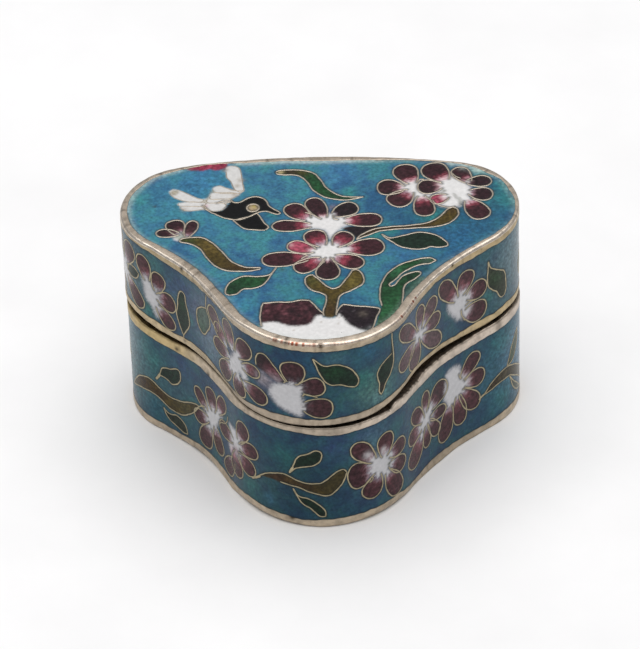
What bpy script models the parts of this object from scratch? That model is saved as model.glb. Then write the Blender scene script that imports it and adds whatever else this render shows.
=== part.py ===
"""Lidded cloisonne trinket box, rounded-triangle plan, lid lifted a little at the back.

Seven pieces: an enamelled copper base and lid, each hollow, three gilt brass rings along the
mouths and the foot, an L-shaped gilt strip around the lid's top corner, and the thin collar
that stands inside the base's mouth and keeps the lid in place.

Every piece is one section swept around the same plan outline. A section is a list of
(inset, height) pairs: how far inside the outline, and how high. Lengths below are in
millimetres; MM turns them into metres. The origin is at the middle of the bounding box's
bottom, +Y points to the back, +Z up.
"""
import bmesh
import bpy
import math
from mathutils import Matrix, Vector

MM = 0.001

# Plan outline: three lobes joined by arcs, symmetric about the YZ plane.
HALF_WIDTH = 31.0
FRONT_LOBE_Y = -7.70      # centre of the front lobe
FRONT_LOBE_R = 15.05
BACK_LOBE_Y = 10.50       # centres of the two back lobes
BACK_LOBE_R = 11.00
HOLLOW_R = 44.50          # the hollow front sides
BACK_R = 124.0            # the slightly bowed back
BACK_LOBE_X = HALF_WIDTH - BACK_LOBE_R

# Segments on each arc, chosen so that no flat is over about 2.6 mm long.
FRONT_SEGMENTS = 24
HOLLOW_SEGMENTS = 8
LOBE_SEGMENTS = 18
BACK_SEGMENTS = 16

# Heights, from the table up.
BASE_H = 20.0
FOOT_RIM_H = 1.4
MOUTH_RIM_H = 1.7         # ring on the base's mouth
LID_H = 16.1
LID_MOUTH_RIM_H = 1.5
TOP_RIM_SIDE_H = 1.5      # how far the lid's edge strip reaches down the side
TOP_RIM_WIDTH = 1.4       # and how far in over the top
TOP_RIM_SHEET = 0.6       # thickness of the strip
TOP_RIM_ROUND = 0.5       # radius of its outer corner

# Walls and clearances.
GAP = 0.3                 # left between pieces that touch
SINK = 0.1                # the enamel lies this far below the rims
BASE_WALL = 1.8
LID_WALL = 1.5
PLATE = 1.5               # thickness of the floor and of the lid's top
EDGE_ROUND = 0.3          # worn outer edges of the rings
COLLAR_SHEET = 0.6
COLLAR_RISE = 3.0         # above the base's mouth ring
COLLAR_DEPTH = 6.0        # below the top of the base's mouth ring

# The lid rests on the front of the base and is lifted at the back, a little more on the right.
LID_TILT = math.radians(1.75)
LID_ROLL = math.radians(-0.22)
LID_TURN = math.radians(0.6)

# In the right hollow the lid's mouth edge bends up, and its ring narrows there.
BEND_MIDDLE = (15.1, -11.4)
BEND_RISE = 1.6           # at the ring's lower edge
BEND_REACH = 8.6
BEND_FADE = 4.0           # height above the mouth where the bend would be gone

ENAMEL = ((0.05, 0.25, 0.34), 0.25, 0.0)
GILT = ((0.72, 0.56, 0.36), 0.35, 1.0)
TARNISHED = ((0.10, 0.06, 0.04), 0.6, 1.0)


def arc(centre, radius, start, end, segments, turn=1):
    """Points on a circle, from the bearing of one plan point towards that of another.

    turn is 1 for counterclockwise and -1 for clockwise. The last point is left out, because
    the next arc begins there.
    """
    first = math.atan2(start.y - centre.y, start.x - centre.x)
    last = math.atan2(end.y - centre.y, end.x - centre.x)
    step = turn * ((turn * (last - first)) % math.tau) / segments
    return [centre + radius * Vector((math.cos(first + k * step), math.sin(first + k * step)))
            for k in range(segments)]


def hollow_centre(front, lobe):
    """Centre of the circle outside the box that touches the front lobe and a back lobe."""
    span = lobe - front
    reach_front = HOLLOW_R + FRONT_LOBE_R
    reach_lobe = HOLLOW_R + BACK_LOBE_R
    along = (span.length_squared + reach_front ** 2 - reach_lobe ** 2) / (2 * span.length)
    across = math.sqrt(reach_front ** 2 - along ** 2)
    ahead = span.normalized()
    return front + along * ahead + across * Vector((ahead.y, -ahead.x))


def outline(inset):
    """Plan outline moved inwards by inset, counterclockwise from the middle of the front.

    The arcs' centres stay where they are, so an inset shrinks the radii of the lobes and the
    back, and grows the radius of the hollows.
    """
    front = Vector((0.0, FRONT_LOBE_Y))
    lobe = Vector((BACK_LOBE_X, BACK_LOBE_Y))
    hollow = hollow_centre(front, lobe)
    drop = math.sqrt((BACK_R - BACK_LOBE_R) ** 2 - BACK_LOBE_X ** 2)
    back = Vector((0.0, BACK_LOBE_Y - drop))
    forward = Vector((0.0, -1.0))

    right = arc(front, FRONT_LOBE_R - inset, front + forward, hollow, FRONT_SEGMENTS // 2)
    right += arc(hollow, HOLLOW_R + inset, front, lobe, HOLLOW_SEGMENTS, turn=-1)
    right += arc(lobe, BACK_LOBE_R - inset, hollow, 2 * lobe - back, LOBE_SEGMENTS)
    right += arc(back, BACK_R - inset, lobe, back - forward, BACK_SEGMENTS // 2)
    middle_back = back - forward * (BACK_R - inset)
    left = [Vector((-point.x, point.y)) for point in reversed(right[1:])]
    return right + [middle_back] + left


def level(point, height):
    """The height itself: most pieces run level around the box."""
    return height


def bent_mouth(point, height):
    """Height of the lid's lower edges: raised near the right hollow's middle, less higher up."""
    if height > LID_MOUTH_RIM_H + GAP:
        return height
    away = (point - Vector(BEND_MIDDLE)).length / BEND_REACH
    fade = 1 - min(height, LID_MOUTH_RIM_H) / BEND_FADE
    return height + BEND_RISE * fade * math.exp(-away ** 2)


def rounded_ring(width, bottom, top, radius):
    """Section of a flat ring whose two outer edges are worn round."""
    section = []
    for centre_z, first in ((bottom + radius, -math.pi / 2), (top - radius, 0.0)):
        for k in range(3):
            angle = first + k * math.pi / 4
            section.append((radius - radius * math.cos(angle), centre_z + radius * math.sin(angle)))
    return section + [(width, top), (width, bottom)]


def carried(mesh, section, course):
    """Each corner of the section carried around; course gives its height at a plan point."""
    return [[mesh.verts.new((p.x * MM, p.y * MM, course(p, z) * MM)) for p in outline(inset)]
            for inset, z in section]


def swept_ring(name, section, course=level):
    """Closed ring: the closed section carried once around the outline."""
    mesh = bmesh.new()
    loops = carried(mesh, section, course)
    join_loops(mesh, loops + [loops[0]])
    return finish(name, mesh)


def swept_shell(name, section, course=level):
    """Hollow shell: an open section carried around, closed by a plate at each end."""
    mesh = bmesh.new()
    loops = carried(mesh, section, course)
    join_loops(mesh, loops)
    mesh.faces.new(loops[0])
    mesh.faces.new(loops[-1])
    return finish(name, mesh)


def join_loops(mesh, loops):
    """Fill the strip between each loop and the next."""
    for lower, upper in zip(loops, loops[1:]):
        for k in range(len(lower)):
            n = (k + 1) % len(lower)
            mesh.faces.new((lower[k], lower[n], upper[n], upper[k]))


def finish(name, mesh):
    """Turn the bmesh into a scene object with outward faces and smooth shading."""
    bmesh.ops.recalc_face_normals(mesh, faces=mesh.faces)
    data = bpy.data.meshes.new(name)
    mesh.to_mesh(data)
    mesh.free()
    data.shade_smooth()
    data.set_sharp_from_angle(angle=math.radians(35))
    item = bpy.data.objects.new(name, data)
    bpy.context.scene.collection.objects.link(item)
    return item


def paint(item, look):
    """Give the piece its own Principled material."""
    colour, roughness, metallic = look
    material = bpy.data.materials.new(item.name)
    material.use_nodes = True
    shader = material.node_tree.nodes["Principled BSDF"]
    shader.inputs["Base Color"].default_value = (*colour, 1.0)
    shader.inputs["Roughness"].default_value = roughness
    shader.inputs["Metallic"].default_value = metallic
    item.data.materials.append(material)


def base_pieces():
    """Foot ring, hollow body, mouth ring and inner collar."""
    wall_bottom = FOOT_RIM_H + GAP
    wall_top = BASE_H - MOUTH_RIM_H - GAP
    floor_top = wall_bottom + PLATE
    collar_out = BASE_WALL + GAP
    collar_in = collar_out + COLLAR_SHEET

    foot = swept_ring("base_foot_rim", rounded_ring(BASE_WALL, 0.0, FOOT_RIM_H, EDGE_ROUND))
    body = swept_shell("base_body", [(SINK, wall_bottom), (SINK, wall_top),
                                     (BASE_WALL, wall_top), (BASE_WALL, floor_top)])
    mouth = swept_ring("base_mouth_rim",
                       rounded_ring(BASE_WALL, BASE_H - MOUTH_RIM_H, BASE_H, EDGE_ROUND))
    collar = swept_ring("base_collar", [(collar_out, BASE_H - COLLAR_DEPTH),
                                        (collar_out, BASE_H + COLLAR_RISE),
                                        (collar_in, BASE_H + COLLAR_RISE),
                                        (collar_in, BASE_H - COLLAR_DEPTH)])
    return {foot: GILT, body: ENAMEL, mouth: GILT, collar: TARNISHED}


def lid_pieces():
    """Mouth ring, hollow body and top edge strip, with the mouth at height zero."""
    wall_bottom = LID_MOUTH_RIM_H + GAP
    shoulder = LID_H - TOP_RIM_SIDE_H - GAP
    step_inset = TOP_RIM_SHEET + GAP
    step_top = LID_H - TOP_RIM_SHEET - GAP
    plate_inset = TOP_RIM_WIDTH + GAP
    plate_top = LID_H - SINK

    mouth = swept_ring("lid_mouth_rim", rounded_ring(LID_WALL, 0.0, LID_MOUTH_RIM_H, EDGE_ROUND),
                       bent_mouth)
    body = swept_shell("lid_body", [(plate_inset, plate_top), (plate_inset, step_top),
                                    (step_inset, step_top), (step_inset, shoulder),
                                    (SINK, shoulder), (SINK, wall_bottom),
                                    (LID_WALL, wall_bottom), (LID_WALL, plate_top - PLATE)],
                       bent_mouth)
    side_bottom = LID_H - TOP_RIM_SIDE_H
    corner = [(TOP_RIM_ROUND - TOP_RIM_ROUND * math.cos(k * math.pi / 6),
               LID_H - TOP_RIM_ROUND + TOP_RIM_ROUND * math.sin(k * math.pi / 6))
              for k in range(4)]
    top = swept_ring("lid_top_rim", [(0.0, side_bottom)] + corner
                     + [(TOP_RIM_WIDTH, LID_H), (TOP_RIM_WIDTH, LID_H - TOP_RIM_SHEET),
                        (TOP_RIM_SHEET, LID_H - TOP_RIM_SHEET), (TOP_RIM_SHEET, side_bottom)])
    return {mouth: GILT, body: ENAMEL, top: GILT}


def seat_lid(pieces):
    """Set the lid on the base: a hair's gap at the front, higher at the back and the right."""
    front = Vector((0.0, FRONT_LOBE_Y - FRONT_LOBE_R, 0.0)) * MM
    seat = front + Vector((0.0, 0.0, BASE_H + GAP)) * MM
    tilt = Matrix.Rotation(LID_TILT, 4, "X")
    roll = Matrix.Rotation(LID_ROLL, 4, "Y")
    turn = Matrix.Rotation(LID_TURN, 4, "Z")
    pose = Matrix.Translation(seat) @ tilt @ roll @ Matrix.Translation(-front) @ turn
    for piece in pieces:
        piece.matrix_world = pose


def build():
    for item in list(bpy.data.objects):
        bpy.data.objects.remove(item, do_unlink=True)
    base = base_pieces()
    lid = lid_pieces()
    seat_lid(lid)
    for piece, look in {**base, **lid}.items():
        paint(piece, look)


build()
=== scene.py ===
# %% [markdown]
# # A lidded cloisonne box, dressed in Blender
#
# The CAD model gives the box its sizes: a hollow base, a hollow lid that sits a little askew on
# it, gilt rings along every edge, and a thin collar in the base's mouth. This lesson adds what
# a hand would add afterwards: the glassy enamel skins with their picture, the bent wires that
# fence the colours in, and the worn gilding.

import bpy
import numpy as np
from mathutils import Matrix, Vector


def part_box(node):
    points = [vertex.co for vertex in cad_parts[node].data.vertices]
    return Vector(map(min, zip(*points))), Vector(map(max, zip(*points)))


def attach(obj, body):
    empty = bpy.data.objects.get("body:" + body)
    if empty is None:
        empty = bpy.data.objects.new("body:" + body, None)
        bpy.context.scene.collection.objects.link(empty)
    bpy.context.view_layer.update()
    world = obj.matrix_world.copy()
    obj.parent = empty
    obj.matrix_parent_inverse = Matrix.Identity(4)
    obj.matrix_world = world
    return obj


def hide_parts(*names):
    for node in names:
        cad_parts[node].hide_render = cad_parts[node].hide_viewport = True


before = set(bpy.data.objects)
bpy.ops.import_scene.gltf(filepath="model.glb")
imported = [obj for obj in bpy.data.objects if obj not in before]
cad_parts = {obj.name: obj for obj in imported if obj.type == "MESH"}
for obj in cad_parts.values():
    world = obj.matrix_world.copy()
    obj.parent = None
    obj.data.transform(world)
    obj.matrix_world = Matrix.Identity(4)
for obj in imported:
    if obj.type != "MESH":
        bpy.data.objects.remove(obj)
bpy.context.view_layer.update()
print("CAD nodes:", sorted(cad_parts))

# %% [markdown]
# ## Sizes
#
# Everything is drawn in millimetres and turned into metres when a mesh is made. The heights of
# the base are read from the CAD nodes. The lid is tilted, so its own heights are kept here as
# the drawing gives them, and the seat below puts it where the CAD lid is.

# %% Sizes in millimetres
MM = 0.001


def cad_heights(node):
    """Lowest and highest point of a CAD node, in millimetres."""
    low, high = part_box(node)
    return low.z / MM, high.z / MM


FOOT_LOW, FOOT_HIGH = cad_heights("base_foot_rim")
MOUTH_LOW, BASE_H = cad_heights("base_mouth_rim")
FLOOR_LOW = cad_heights("base_body")[0]
PLATE = 1.5               # floor of the base, top of the lid
BASE_WALL = 1.8
LID_WALL = 1.5
LID_H = 16.1              # from the lid's mouth to its top
LID_MOUTH_HIGH = 1.35     # visible height of the ring along the lid's mouth
EDGE_SHEET = 0.6          # thickness of the strip over the lid's edge
SKIN_INSET = 0.05         # the enamel lies this far behind the metal
SKIN_THICK = 0.24
TUCK = 0.2                # the enamel runs this far under the metal
SHELL_INSET = 0.33        # the copper's outer face, just behind the glass
GAP = 0.3                 # left between lid and base at the front
print("base height", round(BASE_H, 2), "mm; foot ring", round(FOOT_HIGH, 2), "mm")

# %% [markdown]
# ## The plan outline
#
# Seen from above the box is a triangle of three round lobes: two at the back, one in front, and
# the two front sides are hollow. A coppersmith bends such a strip round formers, so every part
# of it is an arc. The outline is one function of the distance walked round it, and every wall,
# ring and skin is a section carried along this walk. Distance 0 is the middle of the front,
# and it grows towards the right.

# %% Arcs of the outline
HALF_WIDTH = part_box("base_foot_rim")[1].x / MM
FRONT_LOBE = np.array([0.0, -7.70])
FRONT_R = 15.05
BACK_R = 11.00
BACK_LOBE = np.array([HALF_WIDTH - BACK_R, 10.50])
HOLLOW_R = 44.50
BOW_R = 124.0             # the slightly bowed back
TAU = 2 * np.pi


def ray(angle):
    """The direction at an angle: its cosine to the right and its sine upwards."""
    return np.stack([np.cos(angle), np.sin(angle)], -1)


def bearing(start, end):
    """Angle of the line from one plan point to another."""
    return np.arctan2(end[1] - start[1], end[0] - start[0])


def hollow_centre():
    """Centre of the circle outside the box that touches the front lobe and the right lobe."""
    span = BACK_LOBE - FRONT_LOBE
    length = np.hypot(*span)
    reach_front = HOLLOW_R + FRONT_R
    reach_back = HOLLOW_R + BACK_R
    along = (length ** 2 + reach_front ** 2 - reach_back ** 2) / (2 * length)
    across = np.sqrt(reach_front ** 2 - along ** 2)
    ahead = span / length
    return FRONT_LOBE + along * ahead + across * np.array([ahead[1], -ahead[0]])


def outline_arcs():
    """Rows of centre x, centre y, radius, first angle, turn and length, from the front's middle."""
    hollow = hollow_centre()
    drop = np.sqrt((BOW_R - BACK_R) ** 2 - BACK_LOBE[0] ** 2)
    bow = np.array([0.0, BACK_LOBE[1] - drop])
    up = np.array([0.0, 1.0])
    right = []
    for centre, radius, start, end, turn in (
            (FRONT_LOBE, FRONT_R, FRONT_LOBE - up, hollow, 1),
            (hollow, HOLLOW_R, FRONT_LOBE, BACK_LOBE, -1),
            (BACK_LOBE, BACK_R, hollow, 2 * BACK_LOBE - bow, 1),
            (bow, BOW_R, BACK_LOBE, bow + up, 1)):
        first = bearing(centre, start)
        sweep = (turn * (bearing(centre, end) - first)) % TAU
        right.append((*centre, radius, first, turn, sweep * radius))
    left = [(-x, y, r, np.pi - (first + turn * length / r), turn, length)
            for x, y, r, first, turn, length in reversed(right)]
    return np.array(right + left)


ARCS = outline_arcs()
ARC_START = np.concatenate([[0.0], np.cumsum(ARCS[:, 5])[:-1]])
ROUND = ARCS[:, 5].sum()
print("once round the box:", round(ROUND, 2), "mm")


def plan(walk):
    """Point and outward direction at a distance along the outline.

    The arc under the distance is looked up, and the point is its centre plus the radius times
    the direction at that share of its sweep.
    """
    walk = np.mod(walk, ROUND)
    k = np.searchsorted(ARC_START, walk, side="right") - 1
    x, y, radius, first, turn, _ = np.moveaxis(ARCS[k], -1, 0)
    away = ray(first + turn * (walk - ARC_START[k]) / radius)
    return np.stack([x, y], -1) + radius[..., None] * away, turn[..., None] * away


# %% [markdown]
# ## The lid's seat
#
# The real lid doesn't sit level: it rests on the front of the base and rides up on the collar
# towards the back, so a dark gap opens along the hollow sides. The lid is drawn level, with its
# mouth at height zero, and this one function tips, turns and lifts all its points. In the right
# hollow the lid's mouth edge is bent up as well, which opens the gap further.

# %% Seat of the lid
LID_TILT = np.radians(1.75)
LID_ROLL = np.radians(-0.22)
LID_TURN = np.radians(0.6)
FRONT_EDGE = np.array([0.0, FRONT_LOBE[1] - FRONT_R, 0.0])


def turned(axis, angle):
    """Rotation matrix about a coordinate axis."""
    return np.array(Matrix.Rotation(angle, 3, axis))


def on_seat(points):
    """Turn about the upright axis, roll and tip about the front edge, lift onto the base."""
    rolled = (points @ turned("Z", LID_TURN).T - FRONT_EDGE) @ turned("Y", LID_ROLL).T
    return rolled @ turned("X", LID_TILT).T + FRONT_EDGE + [0.0, 0.0, BASE_H + GAP]


def level(points):
    """The base stands level, so its points stay."""
    return points


BEND_MIDDLE = np.array([15.1, -11.4])
BEND_RISE = 1.6           # of the mouth's lower edge, in the middle of the right hollow
BEND_REACH = 8.6
BEND_FADE = 4.0           # height above the mouth where the bend would be gone


def bend(flat, height):
    """How far the lid's mouth edge bends up: a bell over the plan, less with the height."""
    away = ((flat - BEND_MIDDLE) ** 2).sum(-1) / BEND_REACH ** 2
    return BEND_RISE * (1 - np.clip(height, 0, LID_MOUTH_HIGH) / BEND_FADE) * np.exp(-away)


top_of_edge = on_seat(np.array([[0.0, 23.0, LID_H]]))[0, 2]
print("lid's back edge at", round(top_of_edge, 2), "mm; CAD says",
      round(cad_heights("lid_top_rim")[1], 2))

# %% [markdown]
# ## From points to a closed mesh
#
# Each piece is a table of points: a row for each corner of the section, a column for each step
# of the walk. Joining every point to its right and upper neighbours gives the faces. A ring's
# last row meets its first. A shell or a plate closes on a single point at each end.

# %% Mesh makers
COLUMNS = 800
MIDDLE = np.array([0.0, 3.0])     # plates close here
WALK = np.arange(COLUMNS) * ROUND / COLUMNS


def swept(inset, height, pull=0.0):
    """Carry a section round the outline.

    Each point is the outline's point moved inwards by inset, then drawn towards the middle by
    the share pull, at the given height. The arguments have a row for each corner of the
    section and one column, or one for each step of the walk.
    """
    inset, height, pull = np.broadcast_arrays(inset, height, pull)
    wide = np.ones((1, COLUMNS))
    inset, height, pull = inset * wide, height * wide, pull * wide
    foot, outward = plan(WALK)
    flat = foot - inset[..., None] * outward
    flat = MIDDLE + (1 - pull)[..., None] * (flat - MIDDLE)
    return np.concatenate([flat, height[..., None]], -1)


def column(values):
    """A list as an upright column, one number for each row of a section."""
    return np.array(values, float)[:, None]


def quads(rows, columns, wrap_rows):
    """Corners of the faces between neighbouring rows; the columns always close."""
    i = np.arange(rows if wrap_rows else rows - 1)[:, None]
    j = np.arange(columns)[None]
    above, beside = (i + 1) % rows, (j + 1) % columns
    corners = [i * columns + j, i * columns + beside, above * columns + beside,
               above * columns + j]
    return np.stack(np.broadcast_arrays(*corners), -1).reshape(-1, 4)


def finish_piece(name, points, faces, material, slot, replaced=(), values=None):
    """Make the object at the origin, give it its attributes, and hang it on the frame."""
    mesh = bpy.data.meshes.new(name)
    mesh.from_pydata((points * MM).tolist(), [], faces)
    mesh.shade_smooth()
    for label, numbers in (values or {}).items():
        kind = "FLOAT_COLOR" if numbers.ndim == 2 else "FLOAT"
        layer = mesh.attributes.new(label, kind, "POINT")
        field = "color" if numbers.ndim == 2 else "value"
        layer.data.foreach_set(field, numbers.astype(np.float32).ravel())
    mesh.materials.append(material)
    mesh.set_sharp_from_angle(angle=np.radians(50))
    piece = bpy.data.objects.new(name, mesh)
    bpy.context.scene.collection.objects.link(piece)
    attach(piece, "root")
    if replaced:
        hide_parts(*replaced)
    print(f"{name}: {len(points)} points, {len(faces)} faces")
    return piece


def closed_ring(name, table, seat, **how):
    """A ring: its section's last corner joins its first."""
    rows, columns = table.shape[:2]
    faces = quads(rows, columns, True).tolist()
    return finish_piece(name, seat(table.reshape(-1, 3)), faces, **how)


def closed_shell(name, table, seat, **how):
    """A shell or plate: a fan of triangles closes each end on one point."""
    rows, columns = table.shape[:2]
    first, last = rows * columns, rows * columns + 1
    ends = [[*MIDDLE, table[0, 0, 2]], [*MIDDLE, table[-1, 0, 2]]]
    points = np.concatenate([table.reshape(-1, 3), ends])
    j = np.arange(columns)
    beside = (j + 1) % columns
    tail = (rows - 1) * columns
    fans = np.concatenate([np.stack([np.full(columns, first), beside, j], -1),
                           np.stack([tail + j, tail + beside, np.full(columns, last)], -1)])
    faces = quads(rows, columns, False).tolist() + fans.tolist()
    return finish_piece(name, seat(points), faces, **how)


inward = ((plan(WALK)[0] - MIDDLE) * plan(WALK)[1]).sum(-1).min()
print("plates can close on one point:", bool(inward > 0))

# %% [markdown]
# ## Chance, but the same each time
#
# Handwork is never quite even. Edges wander, wires vary. A sum of a few waves with random
# phases gives such a wandering line, and whole waves round the box make its ends meet.

# %% Wandering lines
CHANCE = np.random.default_rng(11)


def wander(walk, longest, shortest, waves=14):
    """Sum of sine waves that fit a whole number of times round the box, about -1 to 1."""
    low, high = int(ROUND / longest), int(ROUND / shortest)
    count = CHANCE.integers(low, high + 1, waves)
    phase = CHANCE.uniform(0, TAU, waves)
    return np.sin(TAU * np.outer(walk, count) / ROUND + phase).sum(-1) / np.sqrt(waves)


def ease(value, start, end):
    """0 before start, 1 after end, and a smooth slope between."""
    share = np.clip((value - start) / (end - start), 0, 1)
    return share * share * (3 - 2 * share)


def apart(walk, place):
    """Distance along the outline to a place on it, the shorter way round."""
    return (walk - place + ROUND / 2) % ROUND - ROUND / 2


def hill(place, width, power=2):
    """A share that is 1 at a place on the outline and fades over width millimetres."""
    return np.exp(-(apart(WALK, place) / width) ** power)


print("a wandering edge spans", np.round(np.ptp(wander(WALK, 20, 1)), 2))

# %% [markdown]
# ## Materials from nodes
#
# Enamel is coloured glass: clouded at the scale of a fingertip, grainy close up, pitted here and
# there where a bubble burst. Old gilding is warm where it survives, brown where dirt sits and
# where shade is painted in, and coppery where fingers have rubbed it through. Each of these is a
# noise of its own size, read from Object coordinates, so that it stays put on the piece.

# %% Node helpers
def colour(red, green, blue):
    """A colour as a painter reads it, 0 to 255, as the linear numbers the shader wants."""
    share = np.array([red, green, blue]) / 255
    return np.where(share <= 0.04045, share / 12.92, ((share + 0.055) / 1.055) ** 2.4)


def plug(tree, socket, value):
    """Link an input to another node's socket, or give it a plain value."""
    if isinstance(value, bpy.types.NodeSocket):
        tree.links.new(value, socket)
    else:
        socket.default_value = value


def node(tree, kind, inputs=None, **settings):
    """Add a node with its settings, then plug in its inputs."""
    item = tree.nodes.new(kind)
    for key, value in settings.items():
        setattr(item, key, value)
    for key, value in (inputs or {}).items():
        plug(tree, item.inputs[key], value)
    return item


def noise(tree, size, seed, detail=2.0):
    """Soft noise from 0 to 1 whose blotches are about size millimetres across."""
    place = node(tree, "ShaderNodeTexCoord").outputs["Object"]
    shifted = node(tree, "ShaderNodeMapping", {"Vector": place, "Location": (seed, seed, 0)})
    return node(tree, "ShaderNodeTexNoise", {
        "Vector": shifted.outputs[0], "Scale": 1 / (size * MM), "Detail": detail,
        "Roughness": 0.55}).outputs[0]


def ramp(tree, value, *stops):
    """Colours along a value; each stop is a position and a linear colour or a grey."""
    item = node(tree, "ShaderNodeValToRGB", {"Fac": value})
    ends = item.color_ramp.elements
    while len(ends) < len(stops):
        ends.new(0.5)
    for end, (position, look) in zip(ends, stops):
        end.position = position
        end.color = (*np.broadcast_to(look, 3), 1.0)
    return item.outputs[0]


def mix(tree, share, first, second, blend="MIX"):
    """Mix two colours; a colour may be a socket or three numbers."""
    item = node(tree, "ShaderNodeMix", {0: share}, data_type="RGBA", blend_type=blend)
    for number, look in ((6, first), (7, second)):
        linked = isinstance(look, bpy.types.NodeSocket)
        plug(tree, item.inputs[number], look if linked else (*look, 1.0))
    return item.outputs[2]


def sums(tree, operation, first, second):
    """Arithmetic on two values."""
    return node(tree, "ShaderNodeMath", {0: first, 1: second}, operation=operation).outputs[0]


def painted(tree, label):
    """An attribute of the mesh: its colour, value and opacity sockets."""
    item = node(tree, "ShaderNodeAttribute", attribute_name=label)
    return item.outputs["Color"], item.outputs["Fac"], item.outputs["Alpha"]


def surface(name, metal=0.0, gloss=0.5):
    """A new material: its node tree and its Principled shader."""
    material = bpy.data.materials.new(name)
    material.use_nodes = True
    shader = material.node_tree.nodes["Principled BSDF"]
    shader.inputs["Metallic"].default_value = metal
    shader.inputs["Specular IOR Level"].default_value = gloss
    return material, material.node_tree, shader


def coat(tree, shader, base, rough):
    """Give a shader its colour and its roughness."""
    plug(tree, shader.inputs["Base Color"], base)
    plug(tree, shader.inputs["Roughness"], rough)


def raise_grain(tree, shader, height, depth, strength):
    """Bump from a height value; depth in millimetres."""
    bump = node(tree, "ShaderNodeBump", {"Height": height, "Distance": depth * MM,
                                         "Strength": strength})
    tree.links.new(bump.outputs[0], shader.inputs["Normal"])


print("node helpers ready")

# %% [markdown]
# ## Enamel glass
#
# The ground is turquoise, deeper and bluer in clouds, greener in others. The picture is painted
# later as an attribute on each skin: its colour already carries its opacity, so the glass simply
# adds it to what is left of the ground. Where glass meets a wire it is a shade darker.

# %% Enamel skins
# The walls' ground is a darker copy of the top's: painted shade, as the upright walls get less
# light.
TOP_GROUND = (colour(44, 86, 122), colour(56, 107, 133), colour(60, 122, 132))
SHADED_WALL_GROUND = (colour(36, 60, 86), colour(40, 74, 93), colour(44, 86, 94))


def enamel(name, ground, gloss, dullness):
    """Turquoise glass that carries the painted picture."""
    material, tree, shader = surface(name, gloss=gloss)
    deep, middle, green = ground
    clouds = sums(tree, "ADD", sums(tree, "MULTIPLY", noise(tree, 6.0, 0.3), 0.6),
                  sums(tree, "MULTIPLY", noise(tree, 1.6, 0.7), 0.4))
    base = ramp(tree, clouds, (0.4, deep), (0.5, middle), (0.6, green))
    grain = noise(tree, 0.45, 0.5, detail=4.0)
    base = mix(tree, 1.0, base, ramp(tree, grain, (0.28, 0.66), (0.5, 0.98), (0.74, 1.3)),
               "MULTIPLY")
    picture, lightness, opacity = painted(tree, "fill")
    left = sums(tree, "SUBTRACT", 1.0, opacity)
    base = mix(tree, left, (0.0, 0.0, 0.0), base)
    streaks = ramp(tree, noise(tree, 0.6, 0.9, detail=4.0), (0.32, 0.55), (0.5, 0.95),
                   (0.7, 1.6))
    calm = ramp(tree, lightness, (0.15, 0.0), (0.45, 0.85))
    streaks = mix(tree, calm, streaks, (1.0, 1.0, 1.0))
    base = mix(tree, 1.0, base, mix(tree, 1.0, picture, streaks, "MULTIPLY"), "ADD")
    seam = painted(tree, "seam")[1]
    base = mix(tree, seam, base, colour(34, 38, 36))
    pits = node(tree, "ShaderNodeTexVoronoi", {
        "Vector": node(tree, "ShaderNodeTexCoord").outputs["Object"], "Scale": 1 / (1.7 * MM)})
    pit = ramp(tree, pits.outputs["Distance"], (0.035, 0.55), (0.07, 0.0))
    base = mix(tree, pit, base, colour(48, 52, 50))
    coat(tree, shader, base,
         ramp(tree, noise(tree, 3.0, 0.2), (0.3, dullness), (0.7, dullness + 0.1)))
    swell = sums(tree, "ADD", noise(tree, 2.2, 0.4), sums(tree, "MULTIPLY", grain, 0.12))
    raise_grain(tree, shader, swell, 0.05, 0.6)
    return material


top_glass = enamel("enamel_top", TOP_GROUND, 0.18, 0.18)
shaded_wall_glass = enamel("enamel_wall_shaded", SHADED_WALL_GROUND, 0.12, 0.2)


def counter_enamel():
    """The plain glass inside and underneath: one blue, unpainted, a little rough."""
    material, tree, shader = surface("enamel_inside", gloss=0.4)
    clouds = noise(tree, 5.0, 0.8, detail=4.0)
    base = ramp(tree, clouds, (0.3, colour(38, 92, 128)), (0.7, colour(60, 130, 158)))
    specks = ramp(tree, noise(tree, 0.5, 0.1, detail=3.0), (0.62, 0.0), (0.72, 0.7))
    base = mix(tree, specks, base, colour(30, 44, 50))
    coat(tree, shader, base, 0.34)
    raise_grain(tree, shader, clouds, 0.1, 0.5)
    return material


inside_glass = counter_enamel()
print("glass:", top_glass.name, shaded_wall_glass.name, inside_glass.name)

# %% [markdown]
# ## Gilding, wire and tarnish
#
# Three states of the same copper alloy. The rings were gilt and are worn: a rosy silver on top,
# yellow on the sides, darkened by dirt and by painted shade, with a painted highlight along the
# lid's edge. The wires were ground flush with the glass and shine in their own pale brass, a
# darker copy on the walls as painted shade. The collar inside was never polished and has gone
# brown, with rusty crumbs of solder, and is painted much paler as painted light for the dim gap.

# %% Metals
ROSY, YELLOW = colour(208, 194, 179), colour(190, 168, 120)
# The first of these darkens for dirt and for painted shade; the last is a painted highlight.
DIRT_AND_SHADE, COPPER, PAINTED_HIGHLIGHT = colour(52, 42, 30), colour(150, 84, 62), colour(240, 228, 214)


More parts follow.
